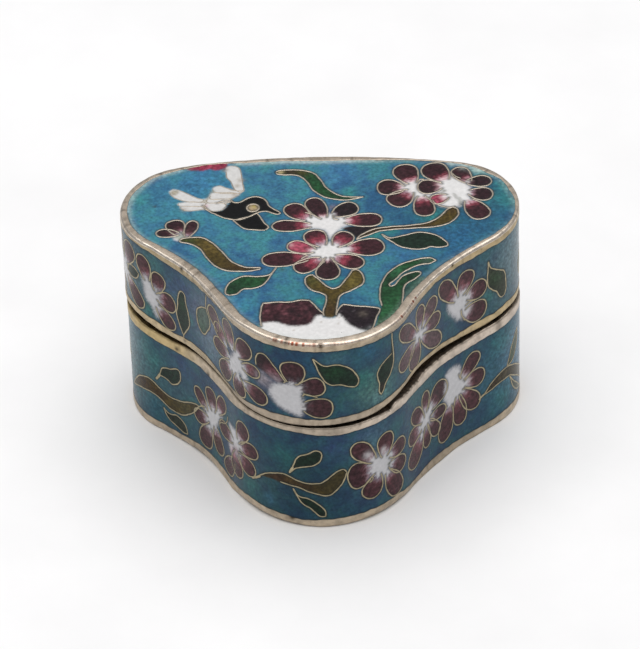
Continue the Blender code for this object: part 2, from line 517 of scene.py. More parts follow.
def gilding():
    """Worn gilding, driven by four attributes: yellow, dirt with painted shade, copper, and
    polish with a painted highlight.
    """
    material, tree, shader = surface("worn_gilding_and_painted_light", metal=1.0)
    base = mix(tree, painted(tree, "yellow")[1], ROSY, YELLOW)
    # Painted highlight: the polished bend is painted towards a near-white colour.
    base = mix(tree, painted(tree, "polish_and_highlight")[1], base, PAINTED_HIGHLIGHT)
    patches = ramp(tree, noise(tree, 1.3, 0.6, detail=4.0), (0.3, 0.7), (0.6, 1.08))
    base = mix(tree, 1.0, base, patches, "MULTIPLY")
    base = mix(tree, painted(tree, "copper")[1], base, COPPER)
    specks = ramp(tree, noise(tree, 0.35, 0.2, detail=4.0), (0.64, 0.0), (0.76, 0.6))
    base = mix(tree, specks, base, DIRT_AND_SHADE)
    # This darkening is dirt and painted shade, by the attribute painted on each ring.
    base = mix(tree, painted(tree, "dirt_and_shade")[1], base, DIRT_AND_SHADE)
    rough = ramp(tree, noise(tree, 0.8, 0.3, detail=4.0), (0.3, 0.34), (0.7, 0.52))
    rough = mix(tree, painted(tree, "polish_and_highlight")[1], rough, (0.24, 0.24, 0.24))
    coat(tree, shader, base, rough)
    calm = sums(tree, "SUBTRACT", 1.1, painted(tree, "polish_and_highlight")[1])
    grain = sums(tree, "MULTIPLY", noise(tree, 0.7, 0.9, detail=3.0), calm)
    raise_grain(tree, shader, grain, 0.04, 0.6)
    return material


def wire_brass(name, tone):
    """Pale brass of the wires, ground flat and a little scratched."""
    material, tree, shader = surface(name, metal=0.8)
    patches = noise(tree, 0.9, 0.5, detail=3.0)
    base = ramp(tree, patches, (0.3, tone * 0.72), (0.55, tone), (0.75, tone * 1.15))
    coat(tree, shader, base, 0.38)
    raise_grain(tree, shader, noise(tree, 0.3, 0.1), 0.03, 0.5)
    return material


def tarnish_with_painted_light():
    """Brown tarnished copper with rusty crumbs, painted much paler: painted light for the gap."""
    material, tree, shader = surface("tarnished_collar_painted_light", metal=0.2)
    patches = noise(tree, 1.2, 0.4, detail=5.0)
    base = ramp(tree, patches, (0.35, colour(96, 80, 66)), (0.55, colour(142, 120, 100)),
                (0.72, colour(184, 158, 128)))
    crumbs = ramp(tree, noise(tree, 0.3, 0.7, detail=3.0), (0.6, 0.0), (0.7, 0.8))
    base = mix(tree, crumbs, base, colour(204, 184, 156))
    coat(tree, shader, base, 0.6)
    raise_grain(tree, shader, patches, 0.15, 0.8)
    return material


gilt = gilding()
top_wire = wire_brass("wire_brass_top", colour(180, 168, 152))
# The walls' wire brass is a darker copy of the top's: painted shade.
shaded_wall_wire = wire_brass("wire_brass_wall_shaded", colour(168, 156, 126))
print("metals:", gilt.name, top_wire.name, shaded_wall_wire.name)

# %% [markdown]
# ## The copper shells
#
# Base and lid are thin copper bowls, enamelled plainly inside and underneath so that the fired
# glass outside can't warp them. A section runs from the middle of the underside out, up the
# wall, over the edge, down inside, and back to the middle of the floor. The corner between
# wall and floor is rounded, as beaten metal is.

# %% Shells
def fillet(inset, height, radius, up, steps=5):
    """Quarter circle between a wall at the inset and a plate at the height."""
    angle = np.linspace(0, np.pi / 2, steps)
    return [(inset + radius * (1 - np.cos(a)), height + up * radius * (1 - np.sin(a)))
            for a in angle]


def section(corners):
    """Corners as the inset, height and pull columns that swept() takes."""
    filled = [(*corner, 0.0) if len(corner) == 2 else corner for corner in corners]
    return [column(part) for part in zip(*filled)]


SPREAD = [0.85, 0.6, 0.3]         # rings between a plate's middle and its edge
floor_top = FLOOR_LOW + PLATE
wall_top = MOUTH_LOW - 0.02
base_corners = ([(1.9, FLOOR_LOW, p) for p in SPREAD] + [(0.6, FLOOR_LOW),
                (SHELL_INSET, FLOOR_LOW + 0.25), (SHELL_INSET, wall_top),
                (BASE_WALL, wall_top)]
                + fillet(BASE_WALL, floor_top, 1.2, 1)
                + [(3.4, floor_top, p) for p in reversed(SPREAD)])
closed_shell("base_shell", swept(*section(base_corners)), level, material=inside_glass,
             slot="inner_enamel", replaced=["base_body"])

ceiling = LID_H - 0.1 - PLATE
plate_top = LID_H - SKIN_INSET - SKIN_THICK - 0.03
strip_bed = LID_H - EDGE_SHEET - 0.05     # the shell steps back here to make room for the strip
lid_corners = ([(3.0, ceiling, p) for p in SPREAD]
               + fillet(LID_WALL, ceiling, 1.0, -1)[::-1]
               + [(LID_WALL, LID_MOUTH_HIGH + 0.02), (SHELL_INSET, LID_MOUTH_HIGH + 0.02),
                  (SHELL_INSET, LID_H - 2.15), (EDGE_SHEET + 0.02, LID_H - 2.05),
                  (EDGE_SHEET + 0.02, strip_bed), (1.16, strip_bed), (1.16, plate_top)]
               + [(1.3, plate_top, p) for p in reversed(SPREAD)])
lid_table = swept(*section(lid_corners))
low_edge = np.abs(lid_table[..., 2] - LID_MOUTH_HIGH) < 0.05
lid_table[..., 2] += low_edge * bend(lid_table[..., :2], LID_MOUTH_HIGH)
closed_shell("lid_shell", lid_table, on_seat, material=inside_glass, slot="inner_enamel",
             replaced=["lid_body"])

# %% [markdown]
# ## The gilt rings
#
# Four metal strips frame the enamel: the foot, the two mouths that meet, and the strip bent
# over the lid's top edge. They were filed flush with the glass by hand, so the line where metal
# meets glass wanders by half a millimetre and more, and solder has left small pits. Where a ring
# meets the glass it is a thin lip, which a wandering line moves up and down a little further.

# %% How the rims' edges stray
def uneven(places, values):
    """A line that passes through values at places along the outline, and closes."""
    return np.interp(WALK, places, values, period=ROUND)


# Each line has a list of places along the outline, then its height or width at each of them.
FOOT_EDGE = FOOT_HIGH + uneven(
    [-46, -38, -33, -27, -22, -19, -13, -7, -3, 3, 8, 14, 17, 20, 24, 30, 36, 40, 60],
    [0.1, 0.15, 0, 0.75, 0.4, -0.1, 0.7, 0.4, 0, 0.25, 0.4, 0.5, -0.2, -0.3, 0.1, -0.15, -0.3,
     0.3, 0])
MOUTH_EDGE = MOUTH_LOW + uneven(
    [-44, -40, -36, -32, -27, -24, -20, -18, -14, -8, -3, 0, 3, 7, 12, 18, 22, 26, 30, 34, 38,
     43, 50],
    [0, 0.1, -0.4, -0.2, 0.15, -0.2, -0.45, -0.45, 0.35, 0.6, 0.4, 0.05, -0.1, 0.15, 0.3, 0.1,
     0, 0.4, 0.1, 0.1, 0.4, 0.7, 0.2])
# How far the foot's plain edge is filed back from the outline; below 0 it stands out.
FOOT_FILED = uneven(
    [-40, -34, -29, -25, -22, -18, -15, -12, -8, -4, 0, 4, 8, 14, 18, 22, 26, 30, 34, 40],
    [0, 0.15, 0.45, 0.4, 0, -0.25, 0.4, 0.65, 0.45, 0.3, 0, 0.2, 0.4, 0.45, 0.05, -0.2, -0.35,
     -0.2, -0.3, 0])
BASE_TOP = BASE_H + uneven(
    [-45, -42, -38, -34, -30, -27, -24, -20, -14, -8, 0, 5, 9, 12.3, 13.3, 15, 18, 20.5, 21.5,
     27, 33, 36, 39, 42, 45, 50],
    [0.05, 0.15, -0.2, -0.4, 0.2, 0.45, 0.2, 0.15, 0, -0.15, -0.22, -0.35, -0.2, -0.4, 0.3, 0.2,
     -0.2, -0.2, 0.25, 0.2, 0.1, 0.25, 0.5, 0.75, 0.5, 0.1])
LID_BOTTOM = uneven(
    [-48, -43, -40, -36, -33, -30, -27, -24, -20, -14, -9, -4, 0, 4, 8, 11, 15, 19, 23, 27, 31,
     36, 38, 41, 44, 60],
    [0.1, 0.7, 0.6, -0.3, -0.2, 0.1, 0.05, -0.1, -0.24, -0.3, -0.33, -0.22, -0.12, -0.05, -0.2,
     -0.05, 0.3, 0.05, -0.2, -0.05, -0.2, -0.4, -0.15, 0.2, 0, 0])
LID_RING_EDGE = LID_MOUTH_HIGH + uneven(
    [-48, -42, -37, -33, -29, -25, -22, -19, -16, -13, -10, -6, 0, 6, 12, 18, 23, 27, 30, 34,
     38, 41, 44, 60],
    [0.2, 0.75, 0.1, -0.35, 0.2, 0.1, -0.6, -0.95, -0.65, -0.5, -0.15, 0, -0.15, 0, 0.2, 0.15,
     -0.05, -0.05, -0.3, -0.1, -0.15, 0.35, 0, 0])
STRIP_LOW = LID_H - uneven(
    [-47, -43, -40, -37, -34, -28, -22, -17, -11, -4, 3, 8, 14, 19, 25, 31, 34, 37, 44, 60],
    [1.3, 0.9, 0.85, 1.15, 1.6, 1.75, 1.9, 1.75, 1.4, 1.4, 1.55, 1.8, 2.0, 1.95, 1.25, 1.45,
     1.75, 1.5, 1.45, 1.5])
STRIP_WIDE = uneven(
    [-88, -79, -73, -70, -67, -64, -61, -58, -55, -52, -46, -34, -28, -22, -17, -8, 3, 8, 14, 19,
     25, 31, 35, 40, 44, 49, 52, 55, 58, 61, 64, 70, 73, 76, 82, 86],
    [1.1, 0.86, 0.76, 0.42, 0.38, 0.8, 1.1, 1.0, 1.15, 1.05, 1.2, 1.22, 1.3, 1.0, 1.2, 1.32,
     1.3, 1.05, 1.05, 1.2, 1.1, 0.92, 0.8, 0.88, 0.62, 0.62, 0.88, 0.65, 1.0, 0.65, 0.42, 0.42,
     0.55, 0.82, 1.0, 1.12])
# The radius of the strip's bend: sharp along the back, softer in the hollows, softest on the
# lobes. In the hollows the strip also sags and stands proud of the wall, by as much as PROUD.
CORNER = uneven(
    [-88, -66, -62, -52, -44, -36, -28, -14, -11, 2, 6, 18, 26, 32, 44, 49, 70, 88],
    [0.12, 0.14, 0.55, 0.5, 0.5, 0.38, 0.34, 0.34, 0.5, 0.5, 0.34, 0.34, 0.36, 0.42, 0.5, 0.16,
     0.12, 0.12])
PROUD = uneven(
    [-37, -34, -30, -26, -22, -18, -16, -12, 2, 4, 8, 14, 18, 20, 26, 36, 40],
    [0, 0.2, 0.17, 0.28, 0.52, 0.58, 0.33, 0, 0, 0.17, 0.35, 0.42, 0.3, 0.14, 0.04, 0.14, 0])
print("lid's mouth ring is between", round((LID_RING_EDGE - LID_BOTTOM).min(), 2), "and",
      round((LID_RING_EDGE - LID_BOTTOM).max(), 2), "mm high")


# %% Ring sections
def lipped_ring(low, high, width, deep, wear):
    """Section of a flat ring with its lip at the top: outer face up, lip, back inside.

    low and high are the edges, deep is the height of the part behind the glass, and wear is the
    wandering edge of the lip. The first row and the last two bound the face that meets the
    other half of the box.
    """
    edge = high + 0.06 * wear
    tuck = high - 0.25
    tall = high - low
    rows = [(0.30, low), (0.14, low + 0.04), (0.04, low + 0.12), (0.0, low + 0.25 * tall),
            (0.0, high - 0.35 * tall), (0.0, edge - 0.12), (0.012, edge - 0.04), (0.042, edge),
            (0.042, tuck), (SHELL_INSET - 0.03, tuck), (SHELL_INSET - 0.03, deep),
            (width, deep), (width, low + 0.2), (width - 0.15, low)]
    inset = column([row[0] for row in rows]) * np.ones((1, COLUMNS))
    height = np.stack([np.broadcast_to(row[1], COLUMNS) for row in rows])
    return inset, height


def ring_marks(table_shape, yellow, dirt_and_shade, copper=0.0, polish_and_highlight=0.0):
    """The attributes of the gilding, from rows or columns of shares."""
    marks = {"yellow": yellow, "dirt_and_shade": dirt_and_shade, "copper": copper, "polish_and_highlight": polish_and_highlight}
    return {label: np.clip(np.broadcast_to(share, table_shape), 0, 1).ravel()
            for label, share in marks.items()}


def pit(height, places):
    """Soft dark marks on a table of heights: each is a place, a height, a width, a strength."""
    return sum(strength * np.exp(-(apart(WALK, place) ** 2 + (height - up) ** 2) / width ** 2)
               for place, up, width, strength in places)


def lip_dirt_and_shade(rows, lip, beside):
    """Dirt and a painted shade line darken the lip's own row and the row beside it."""
    share = np.zeros((rows, 1))
    share[lip] = 0.75
    share[beside] = 0.25
    return share


print("ring sections ready")

# %% Foot, and the two mouths
# A flat ring's rows run from its plain edge up the outer face to the lip, then back inside.
ROUNDED = slice(0, 3)             # the plain edge and its rounding
FILED = slice(0, 4)               # the same and the first row of the outer face
FILED_SHARES = column([1, 1, 0.95, 0.45])
RING_LIP = (7, 6)                 # the lip's own row and the row beside it
# Painted shade, with some tarnish, by row: where the halves meet in the gap and where the foot
# stands on the floor.
MEETING_SHADE_AND_DIRT = {0: 0.55, 1: 0.3, 2: 0.12, 12: 0.7, 13: 0.7}   # by row, where the halves meet


def plain_ring(name, low, high, width, deep, seat, gold, dull_and_shade, places, upside_down=False,
               notch=0.0, course=None, filed=0.0):
    """Build one flat ring; upside_down puts the lip at the bottom, course bends its heights.

    gold is the share of yellow and dull the share of dirt and painted shade, both along
    the outline. filed is how far the plain edge is filed back in, which leaves a slanting
    face below.
    """
    wear = wander(WALK, 25, 1.6) * 0.8
    if upside_down:
        deep = low + high - deep
    inset, height = lipped_ring(low, high, width, deep, wear)
    inset[FILED] += filed * FILED_SHARES
    dents = 0.03 * wander(WALK, 6, 0.8)
    height[ROUNDED] += np.clip(dents, 0, 1) + notch
    dirt_and_shade = lip_dirt_and_shade(len(inset), *RING_LIP)
    dirt_and_shade[list(MEETING_SHADE_AND_DIRT), 0] = list(MEETING_SHADE_AND_DIRT.values())
    if upside_down:
        inset, height, dirt_and_shade = inset[::-1], (low + high - height)[::-1], dirt_and_shade[::-1]
    stains = 0.3 * np.clip(wander(WALK, 30, 1.5) - 1.0, 0, 1)
    marks = ring_marks(inset.shape, gold, dirt_and_shade + dull_and_shade + pit(height, places) + stains)
    table = swept(inset, height)
    if course:
        table[..., 2] += course(table[..., :2], table[..., 2])
    return closed_ring(name, table, seat, material=gilt, slot="gilt_brass", values=marks)


foot_ring = plain_ring("foot_ring", FOOT_LOW, FOOT_EDGE, BASE_WALL, FOOT_HIGH - 0.01, level,
                       0.3, uneven([-40, -15, 10, 20, 30, 45], [0.1, 0.05, 0.12, 0.25, 0.2, 0.05]),
                       [(-4.6, 1.4, 0.5, 0.9), (-5.6, 1.3, 0.3, 0.7), (14, 0.9, 0.3, 0.5)],
                       filed=FOOT_FILED)
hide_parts("base_foot_rim")
# Solder stands ragged along the top of the base's mouth where the gap is widest.
ragged = 0.14 * np.clip(wander(WALK, 8, 0.9) + 0.2, 0, 1.4) * hill(22, 13, 4)
base_mouth_ring = plain_ring("base_mouth_ring", MOUTH_EDGE, BASE_TOP, BASE_WALL,
                             MOUTH_LOW + 0.01, level,
                             uneven([-50, -32, -26, -10, 4, 12, 45], [1, 0.9, 0.3, 0.2, 0.1, 0, 0]),
                             uneven([-36, -26, -5, 2, 9, 45], [0.02, 0.12, 0.28, 0.3, 0.08, 0.1]),
                             [(-32.4, 18.7, 0.4, 1.0), (-24.5, 18.4, 0.5, 1.0),
                              (-31.8, 19.1, 0.3, 0.9), (6.5, 19.4, 0.3, 0.5),
                              (-13, 19, 0.15, 0.8), (-28.5, 19.3, 0.3, 0.5)],
                             upside_down=True, notch=ragged)
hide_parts("base_mouth_rim")
lid_mouth_ring = plain_ring("lid_mouth_ring", LID_BOTTOM, LID_RING_EDGE, LID_WALL,
                            LID_MOUTH_HIGH - 0.01, on_seat,
                            uneven([-45, -20, -12, 8, 18, 40], [0.7, 0.5, 0.2, 0.25, 0.6, 0.8]),
                            uneven([-42, -30, -22, -16, -8, 4, 12, 26, 38],
                                   [0.1, 0.15, 0.35, 0.45, 0.3, 0.35, 0.3, 0.25, 0.1]),
                            [(-30.3, 0.9, 0.4, 0.6), (-17.2, 1.1, 0.5, 1.0),
                             (9.0, 0.6, 0.3, 0.5), (-16.4, 0.9, 0.3, 0.8)], course=bend)
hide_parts("lid_mouth_rim")

# %% [markdown]
# ## The strip over the lid's edge
#
# An L of sheet brass is bent over the corner: a band on top, a band down the side. Its corner
# catches the light from overhead as one bright line, broken where the gilding has rubbed away
# to red copper near the front. The bend is also painted bright along that line as a painted
# highlight, and the side and the top band are darkened by dirt and painted shade.

# %% Edge strip
# The strip's rows run up its side, over the bend, in over the top, and back inside.
BENT = slice(4, 13)
BENT_SIDE = slice(5, 11)          # rows of the bend that face outwards
BENT_TOP = slice(6, 13)           # and those that face up
FLAT_TOP = slice(12, 15)          # the band on top, without its lip
SIDE_LIP, TOP_LIP = (0, 1), (16, 15)      # each lip's own row and the row beside it


def edge_strip():
    """Section: up the side, a quarter circle over the corner, in over the top, back inside."""
    low = STRIP_LOW + 0.05 * wander(WALK, 25, 1.6)
    wide = STRIP_WIDE + 0.025 * wander(WALK, 25, 1.4)
    tuck = STRIP_LOW + 0.25
    sheet = LID_H - EDGE_SHEET
    over = [(CORNER * (1 - np.cos(a)), LID_H - CORNER * (1 - np.sin(a)))
            for a in np.radians([0, 12, 24, 36, 48, 60, 72, 84, 90])]
    behind = STRIP_WIDE - TUCK - 0.08
    between = (CORNER + STRIP_WIDE - 0.12) / 2
    rows = ([(0.042, low), (0.012, low + 0.04), (0.0, low + 0.12), (0.0, LID_H - 0.8)] + over
            + [(between, LID_H), (wide - 0.12, LID_H), (wide - 0.03, LID_H - 0.008),
               (wide, LID_H - 0.042), (behind, LID_H - 0.042), (behind, sheet),
               (EDGE_SHEET, sheet), (EDGE_SHEET, tuck), (0.042, tuck)])
    inset = np.stack([np.broadcast_to(row[0], COLUMNS) for row in rows])
    height = np.stack([np.broadcast_to(row[1], COLUMNS) for row in rows])
    dents = 0.02 * np.clip(wander(WALK, 12, 2.2), 0, 2) * ease(PROUD, 0.2, 0.0)
    nick = 0.16 * hill(0.6, 0.35)
    dents = dents + nick
    inset[BENT_SIDE] += dents
    height[BENT_TOP] -= dents
    # In the hollows the bend swings out, and the rows beside it follow by a lesser share.
    outer = np.clip(1 - inset / (STRIP_WIDE - 0.12), 0, 1)
    outer[:BENT.start] = column([0, 0.1, 0.2, 0.75])
    outer[-4:] = 0
    height[BENT] -= (0.36 * PROUD + 0.02 * ease(CORNER, 0.3, 0.1)) * outer[BENT]
    inset -= PROUD * outer
    return inset, height


def among(part):
    """Which of the strip's rows lie in a part of its section."""
    return (rows >= part.start) & (rows < part.stop)


strip_inset, strip_height = edge_strip()
rows = np.arange(len(strip_inset))[:, None]
rubbed = (hill(-3, 3.4, 4) + hill(14.5, 1.2) + hill(19, 1.6) + 0.6 * hill(-6.2, 1.5)
          + 0.5 * hill(4, 2))
copper = among(BENT_SIDE) * rubbed * np.clip(wander(WALK, 4, 0.5) + 0.3, 0, 1)
strip_dirt_and_shade = (lip_dirt_and_shade(len(rows), *SIDE_LIP) + lip_dirt_and_shade(len(rows), *TOP_LIP)
              + pit(strip_height, [(-29.8, 15.6, 0.36, 1.0), (-30.1, 15.0, 0.26, 0.8),
                                   (29.3, 15.7, 0.25, 0.9), (0.6, 15.7, 0.3, 0.9),
                                   (0.6, 15.1, 0.2, 0.6), (27.5, 15.6, 0.25, 0.5),
                                   (-4.8, 16.0, 0.4, 0.6), (-6.4, 16.0, 0.35, 0.45),
                                   (-21.5, 15.7, 0.16, 0.6), (-24.4, 15.7, 0.14, 0.5),
                                   (16.5, 15.7, 0.16, 0.6)])
              + 0.4 * np.clip(wander(WALK, 20, 1.2) - 0.8, 0, 1))
# Dirt and painted shade on the strip: the side is darkened, the top band more where it sags out and
# would catch more light, and both by place along the outline.
top_dirt_and_shade = uneven([-40, -14, -8, 6, 12, 45], [0.14, 0.14, 0, 0.03, 0.16, 0.1])
strip_dirt_and_shade = strip_dirt_and_shade + np.where(rows < BENT_TOP.start, 0.22, top_dirt_and_shade)
strip_dirt_and_shade = strip_dirt_and_shade + among(FLAT_TOP) * (0.12 + 0.3 * PROUD)
# Painted highlight: the bend's outward rows are painted near-white and made smoother, less at the
# front.
polish_and_highlight = among(BENT_SIDE) * uneven([-52, -40, -32, -14, -8, 6, 10, 24, 34, 44, 52],
                                  [0.3, 0.9, 1, 0.9, 0.25, 0.3, 0.45, 0.9, 0.5, 0.5, 0.2])
side_yellow = uneven([-44, -30, -16, -8, 10, 18, 26, 44],
                     [0.6, 0.8, 0.35, 0.3, 0.4, 0.3, 0.8, 0.8])
strip_yellow = np.where(rows < BENT_SIDE.start, side_yellow, 0.08)
closed_ring("lid_edge_strip", swept(strip_inset, strip_height), on_seat, material=gilt,
            slot="gilt_brass", replaced=["lid_top_rim"],
            values=ring_marks(strip_inset.shape, strip_yellow, strip_dirt_and_shade, copper, polish_and_highlight))

# %% [markdown]
# ## Drawing on the enamel
#
# A cloisonne picture is drawn twice: flat wire stood on edge fences every cell, and glass of one
# colour fills it. So each stroke below does two things. It lays a colour on the skin's grid, by
# asking which of its points lie inside a closed line, and it remembers the line, which is
# swept into a wire afterwards. The three fields are the lid's top, drawn in x and y, and the two
# walls, drawn in distance round the box and height.

# %% Fields to draw on
def field(across, up, rim, wraps, tones):
    """An empty field: nothing painted, no wires.

    rim is every point's distance from the metal. tones are the glasses that its flowers melt
    through, the share of crimson left in the petals' tips, and how far from a petal's root the
    melting starts.
    """
    return {"across": across.ravel(), "up": up.ravel(), "rim": rim.ravel(), "wraps": wraps,
            "tones": tones, "wires": [], "fill": np.zeros((across.size, 4)),
            "seam": np.zeros(across.size)}


def wall_field(low, high, rows):
    """A wall's field between two uneven rims, and the heights of its points row by row."""
    height = np.linspace(low - TUCK, high + TUCK, rows)
    across = np.broadcast_to((WALK + ROUND / 2) % ROUND - ROUND / 2, height.shape)
    rim = np.minimum(height - low, high - height)
    return height, field(across, height, rim, True, SHADED_WALL_TONES)


TOP_TONES = {"white": colour(212, 210, 209), "pink": colour(198, 146, 154),
             "crimson": colour(122, 50, 63), "plum": colour(39, 26, 30), "left": 0.05,
             "start": 0.15}
# The walls' glasses are darker, greyer copies of the top's: painted shade, with a painted
# reflection that lifts the plum.
SHADED_WALL_TONES = {"white": colour(198, 197, 199), "pink": colour(160, 134, 140),
              "crimson": colour(106, 62, 68), "plum": colour(52, 33, 37), "left": 0.2,
              "start": 0.5}
TOP_ROWS = 104
TOP_PULL = np.linspace(0, 0.995, TOP_ROWS)[:, None]
top_table = swept(STRIP_WIDE - TUCK, LID_H - SKIN_INSET, TOP_PULL)
to_middle = np.linalg.norm(top_table[0, :, :2] - MIDDLE, axis=-1)
lid_top = field(top_table[..., 0], top_table[..., 1], TOP_PULL * to_middle - TUCK, False,
                TOP_TONES)
lid_rows, lid_wall = wall_field(LID_RING_EDGE + bend(plan(WALK)[0], LID_MOUTH_HIGH),
                                STRIP_LOW, 66)
base_rows, base_wall = wall_field(FOOT_EDGE, MOUTH_EDGE, 84)
print("points to paint:", [f["across"].size for f in (lid_top, lid_wall, base_wall)])

# %% [markdown]
# ## Smooth strokes
#
# A hand places a few points and the wire springs into a smooth curve between them. A
# Catmull-Rom curve does the same: each span leaves its point in the direction from the point
# before to the point after.

# %% Curves
STEP = 0.25               # between the points of a line


def evenly(line):
    """The same line with a point at every step of its length."""
    length = np.concatenate([[0], np.cumsum(np.linalg.norm(np.diff(line, axis=0), axis=1))])
    count = max(int(np.ceil(length[-1] / STEP)), 2) + 1
    at = np.linspace(0, length[-1], count)
    return np.stack([np.interp(at, length, line[:, k]) for k in (0, 1)], -1)


def smooth(points, closed=False):
    """Catmull-Rom curve through points: a cubic in t for each span between two of them."""
    p1 = np.asarray(points, float)
    if closed:
        p0, p2, p3 = np.roll(p1, 1, 0), np.roll(p1, -1, 0), np.roll(p1, -2, 0)
    else:
        padded = np.concatenate([[2 * p1[0] - p1[1]], p1, [2 * p1[-1] - p1[-2]]])
        p0, p1, p2, p3 = padded[:-3], padded[1:-2], padded[2:-1], padded[3:]
    p0, p1, p2, p3 = (p[:, None] for p in (p0, p1, p2, p3))
    t = np.linspace(0, 1, 10, endpoint=False)[:, None]
    line = 0.5 * (2 * p1 + (p2 - p0) * t + (2 * p0 - 5 * p1 + 4 * p2 - p3) * t ** 2
                  + (3 * p1 - p0 - 3 * p2 + p3) * t ** 3)
    end = line[0, :1] if closed else p2[-1]
    return evenly(np.concatenate([line.reshape(-1, 2), end]))


def joined(edges):
    """One closed line from several smooth edges in order, with corners where they meet."""
    parts = [smooth(edge)[:-1] for edge in edges]
    return np.concatenate(parts)


print("a stroke of", len(smooth([(0, 0), (3, 1), (6, 0)])), "points")

# %% [markdown]
# ## Filling a cell
#
# For every point of the field near a closed line, two things are worked out at once for all of
# them: the distance to the nearest side, and how often a ray to the right crosses the line. An
# odd count means inside. The distance softens the border, a little under a wire and a lot
# where two glasses were laid wet beside each other.

# %% Inside or outside
def near_line(where, line, margin):
    """Points of a field close to a line, in coordinates that don't jump behind the box."""
    across, up = where["across"], where["up"]
    if where["wraps"]:
        across = line[:, 0].mean() + apart(across, line[:, 0].mean())
    low, high = line.min(0) - margin, line.max(0) + margin
    chosen = np.flatnonzero((across > low[0]) & (across < high[0])
                            & (up > low[1]) & (up < high[1]))
    return chosen, np.stack([across[chosen], up[chosen]], -1)


def to_sides(points, start, end):
    """Distance from every point to the nearest of the straight sides."""
    side = end - start
    share = ((points[:, None] - start) * side).sum(-1) / np.maximum((side ** 2).sum(-1), 1e-12)
    foot = start + np.clip(share, 0, 1)[..., None] * side
    return np.linalg.norm(points[:, None] - foot, axis=-1).min(1)


def inside(where, line, soft=0.1):
    """The field's points in a closed line: their numbers, places and cover from 0 to 1."""
    chosen, points = near_line(where, line, soft)
    start, end = line, np.roll(line, -1, 0)
    rise = end[:, 1] - start[:, 1]
    rise = np.where(np.abs(rise) < 1e-9, 1e-9, rise)
    x, y = points[:, :1], points[:, 1:]
    spans = (start[:, 1] > y) != (end[:, 1] > y)
    crossing = start[:, 0] + (y - start[:, 1]) * (end[:, 0] - start[:, 0]) / rise
    odd = (spans & (x < crossing)).sum(1) % 2 == 1
    depth = to_sides(points, start, end) * np.where(odd, 1, -1)
    return chosen, points, ease(depth, -soft, soft)


def lay(where, patch, glass, strength=1.0):
    """Lay a glass colour over a patch: what is there fades by the cover, the colour grows."""
    chosen, _, cover = patch
    share = (cover * strength)[:, None]
    old = where["fill"][chosen]
    where["fill"][chosen] = old * (1 - share) + np.array([*glass, 1.0]) * share


def blotch(patch, x, y, size):
    """Share that is 1 at a place in a patch and fades over size millimetres."""
    return np.exp(-(((patch[1] - [x, y]) / size) ** 2).sum(-1))


def wire(where, line, width=0.27, closed=False):
    """Remember a line as a wire; those on the walls are a little finer."""
    width = width * (0.74 if where["wraps"] else 0.88)
    where["wires"].append((np.asarray(line, float), width, closed))


print("filling ready")

# %% [markdown]
# ## The glass colours and the forms they fill
#
# A few glasses go a long way: a plum that fires almost black, crimson, white, olive, two greens
# and black, and mixtures of them. Petals are eggs of plum that melt through crimson into white.
# Leaves are cells between two long wires. Everything else is a cell drawn edge by edge.

# %% Glasses
PLUM = colour(40, 27, 31)
DARK_PLUM = colour(30, 22, 26)
# Plum seen through a painted reflection, for petals in the hollows of the walls.
PLUM_UNDER_SHEEN = colour(74, 62, 65)
CRIMSON = colour(122, 50, 63)
PINK = colour(196, 140, 150)
HAZE = colour(148, 140, 146)
OLIVE = colour(72, 60, 26)
BROWN = colour(56, 38, 28)
GREEN = colour(30, 68, 40)
DARK_GREEN = colour(22, 40, 30)
SAGE = colour(74, 92, 84)
BLACK = colour(9, 8, 11)
SHADE = colour(150, 138, 122)
BEIGE = colour(150, 132, 104)
JADE = colour(48, 128, 112)


# %% Petals, leaves and cells
PETAL_ROOT = 0.9          # how far a petal's root runs on under the white heart


def fingers(along, across):
    """Waves and grains of glass that make a melted border run in fingers along a petal."""
    phase = CHANCE.uniform(0, TAU, 3)
    waves = (np.sin(TAU * across / 1.4 + phase[0]) + 0.6 * np.sin(TAU * across / 0.7 + phase[1])
             + 0.6 * np.sin(TAU * along / 1.3 + phase[2]))
    return 0.14 * waves + 0.16 * CHANCE.normal(size=along.shape)


def petal(where, x, y, long, wide, degrees, blush=0.5, glass=None, gape=26, slim=0.34):
    """An egg-shaped cell whose tip points at an angle and whose root lies open.

    An angle runs once round: the distance along is half the length times its cosine, the
    distance across half the width times its sine, a little more on the tip's side. From the
    root outwards the glass melts from white through pink and crimson into plum. The less blush,
    the nearer to the root the plum starts, and below 0 it takes most of the petal.
    """
    ahead = ray(np.radians(degrees))
    aside = np.array([-ahead[1], ahead[0]])
    middle = [x, y] - PETAL_ROOT / 2 * ahead
    long = long + PETAL_ROOT
    angle = np.radians(np.arange(-180, 180, 6.0))
    line = (middle + (long / 2 * np.cos(angle))[:, None] * ahead
            + (wide / 2 * np.sin(angle) * (1 + slim * np.cos(angle)))[:, None] * aside)
    chosen, points, cover = inside(where, line)
    along, across = (points - middle) @ ahead + long / 2, (points - middle) @ aside
    tones = where["tones"]
    depth = along + fingers(along, across) - tones["start"]
    patch = chosen, points, cover
    lay(where, patch, tones["white"], ease(depth, 0.8, 0.0))
    lay(where, patch, tones["pink"], 0.8 * ease(depth, 0.1, 1.0))
    lay(where, patch, tones["crimson"], ease(depth, 0.6, 1.7))
    reach = 0.6 + 0.33 * blush * long
    full = 1 - tones["left"] - 0.1 * blush
    lay(where, patch, tones["plum"] if glass is None else glass,
        full * ease(depth, reach, reach + 1.3))
    stripes = ease(fingers(along, across), 0.0, 0.4)
    lay(where, patch, tones["crimson"], (0.04 + tones["left"] / 2) * stripes)
    shown = np.abs(angle) <= np.radians(180 - gape)
    wire(where, evenly(line[shown]))
    return patch


def grainy(patch, amount=0.14):
    """The same patch with grains of glass scattered where its cover is neither full nor none."""
    chosen, points, cover = patch
    grains = amount * 4 * cover * (1 - cover) * CHANCE.normal(size=cover.shape)
    return chosen, points, np.clip(cover + grains, 0, 1)


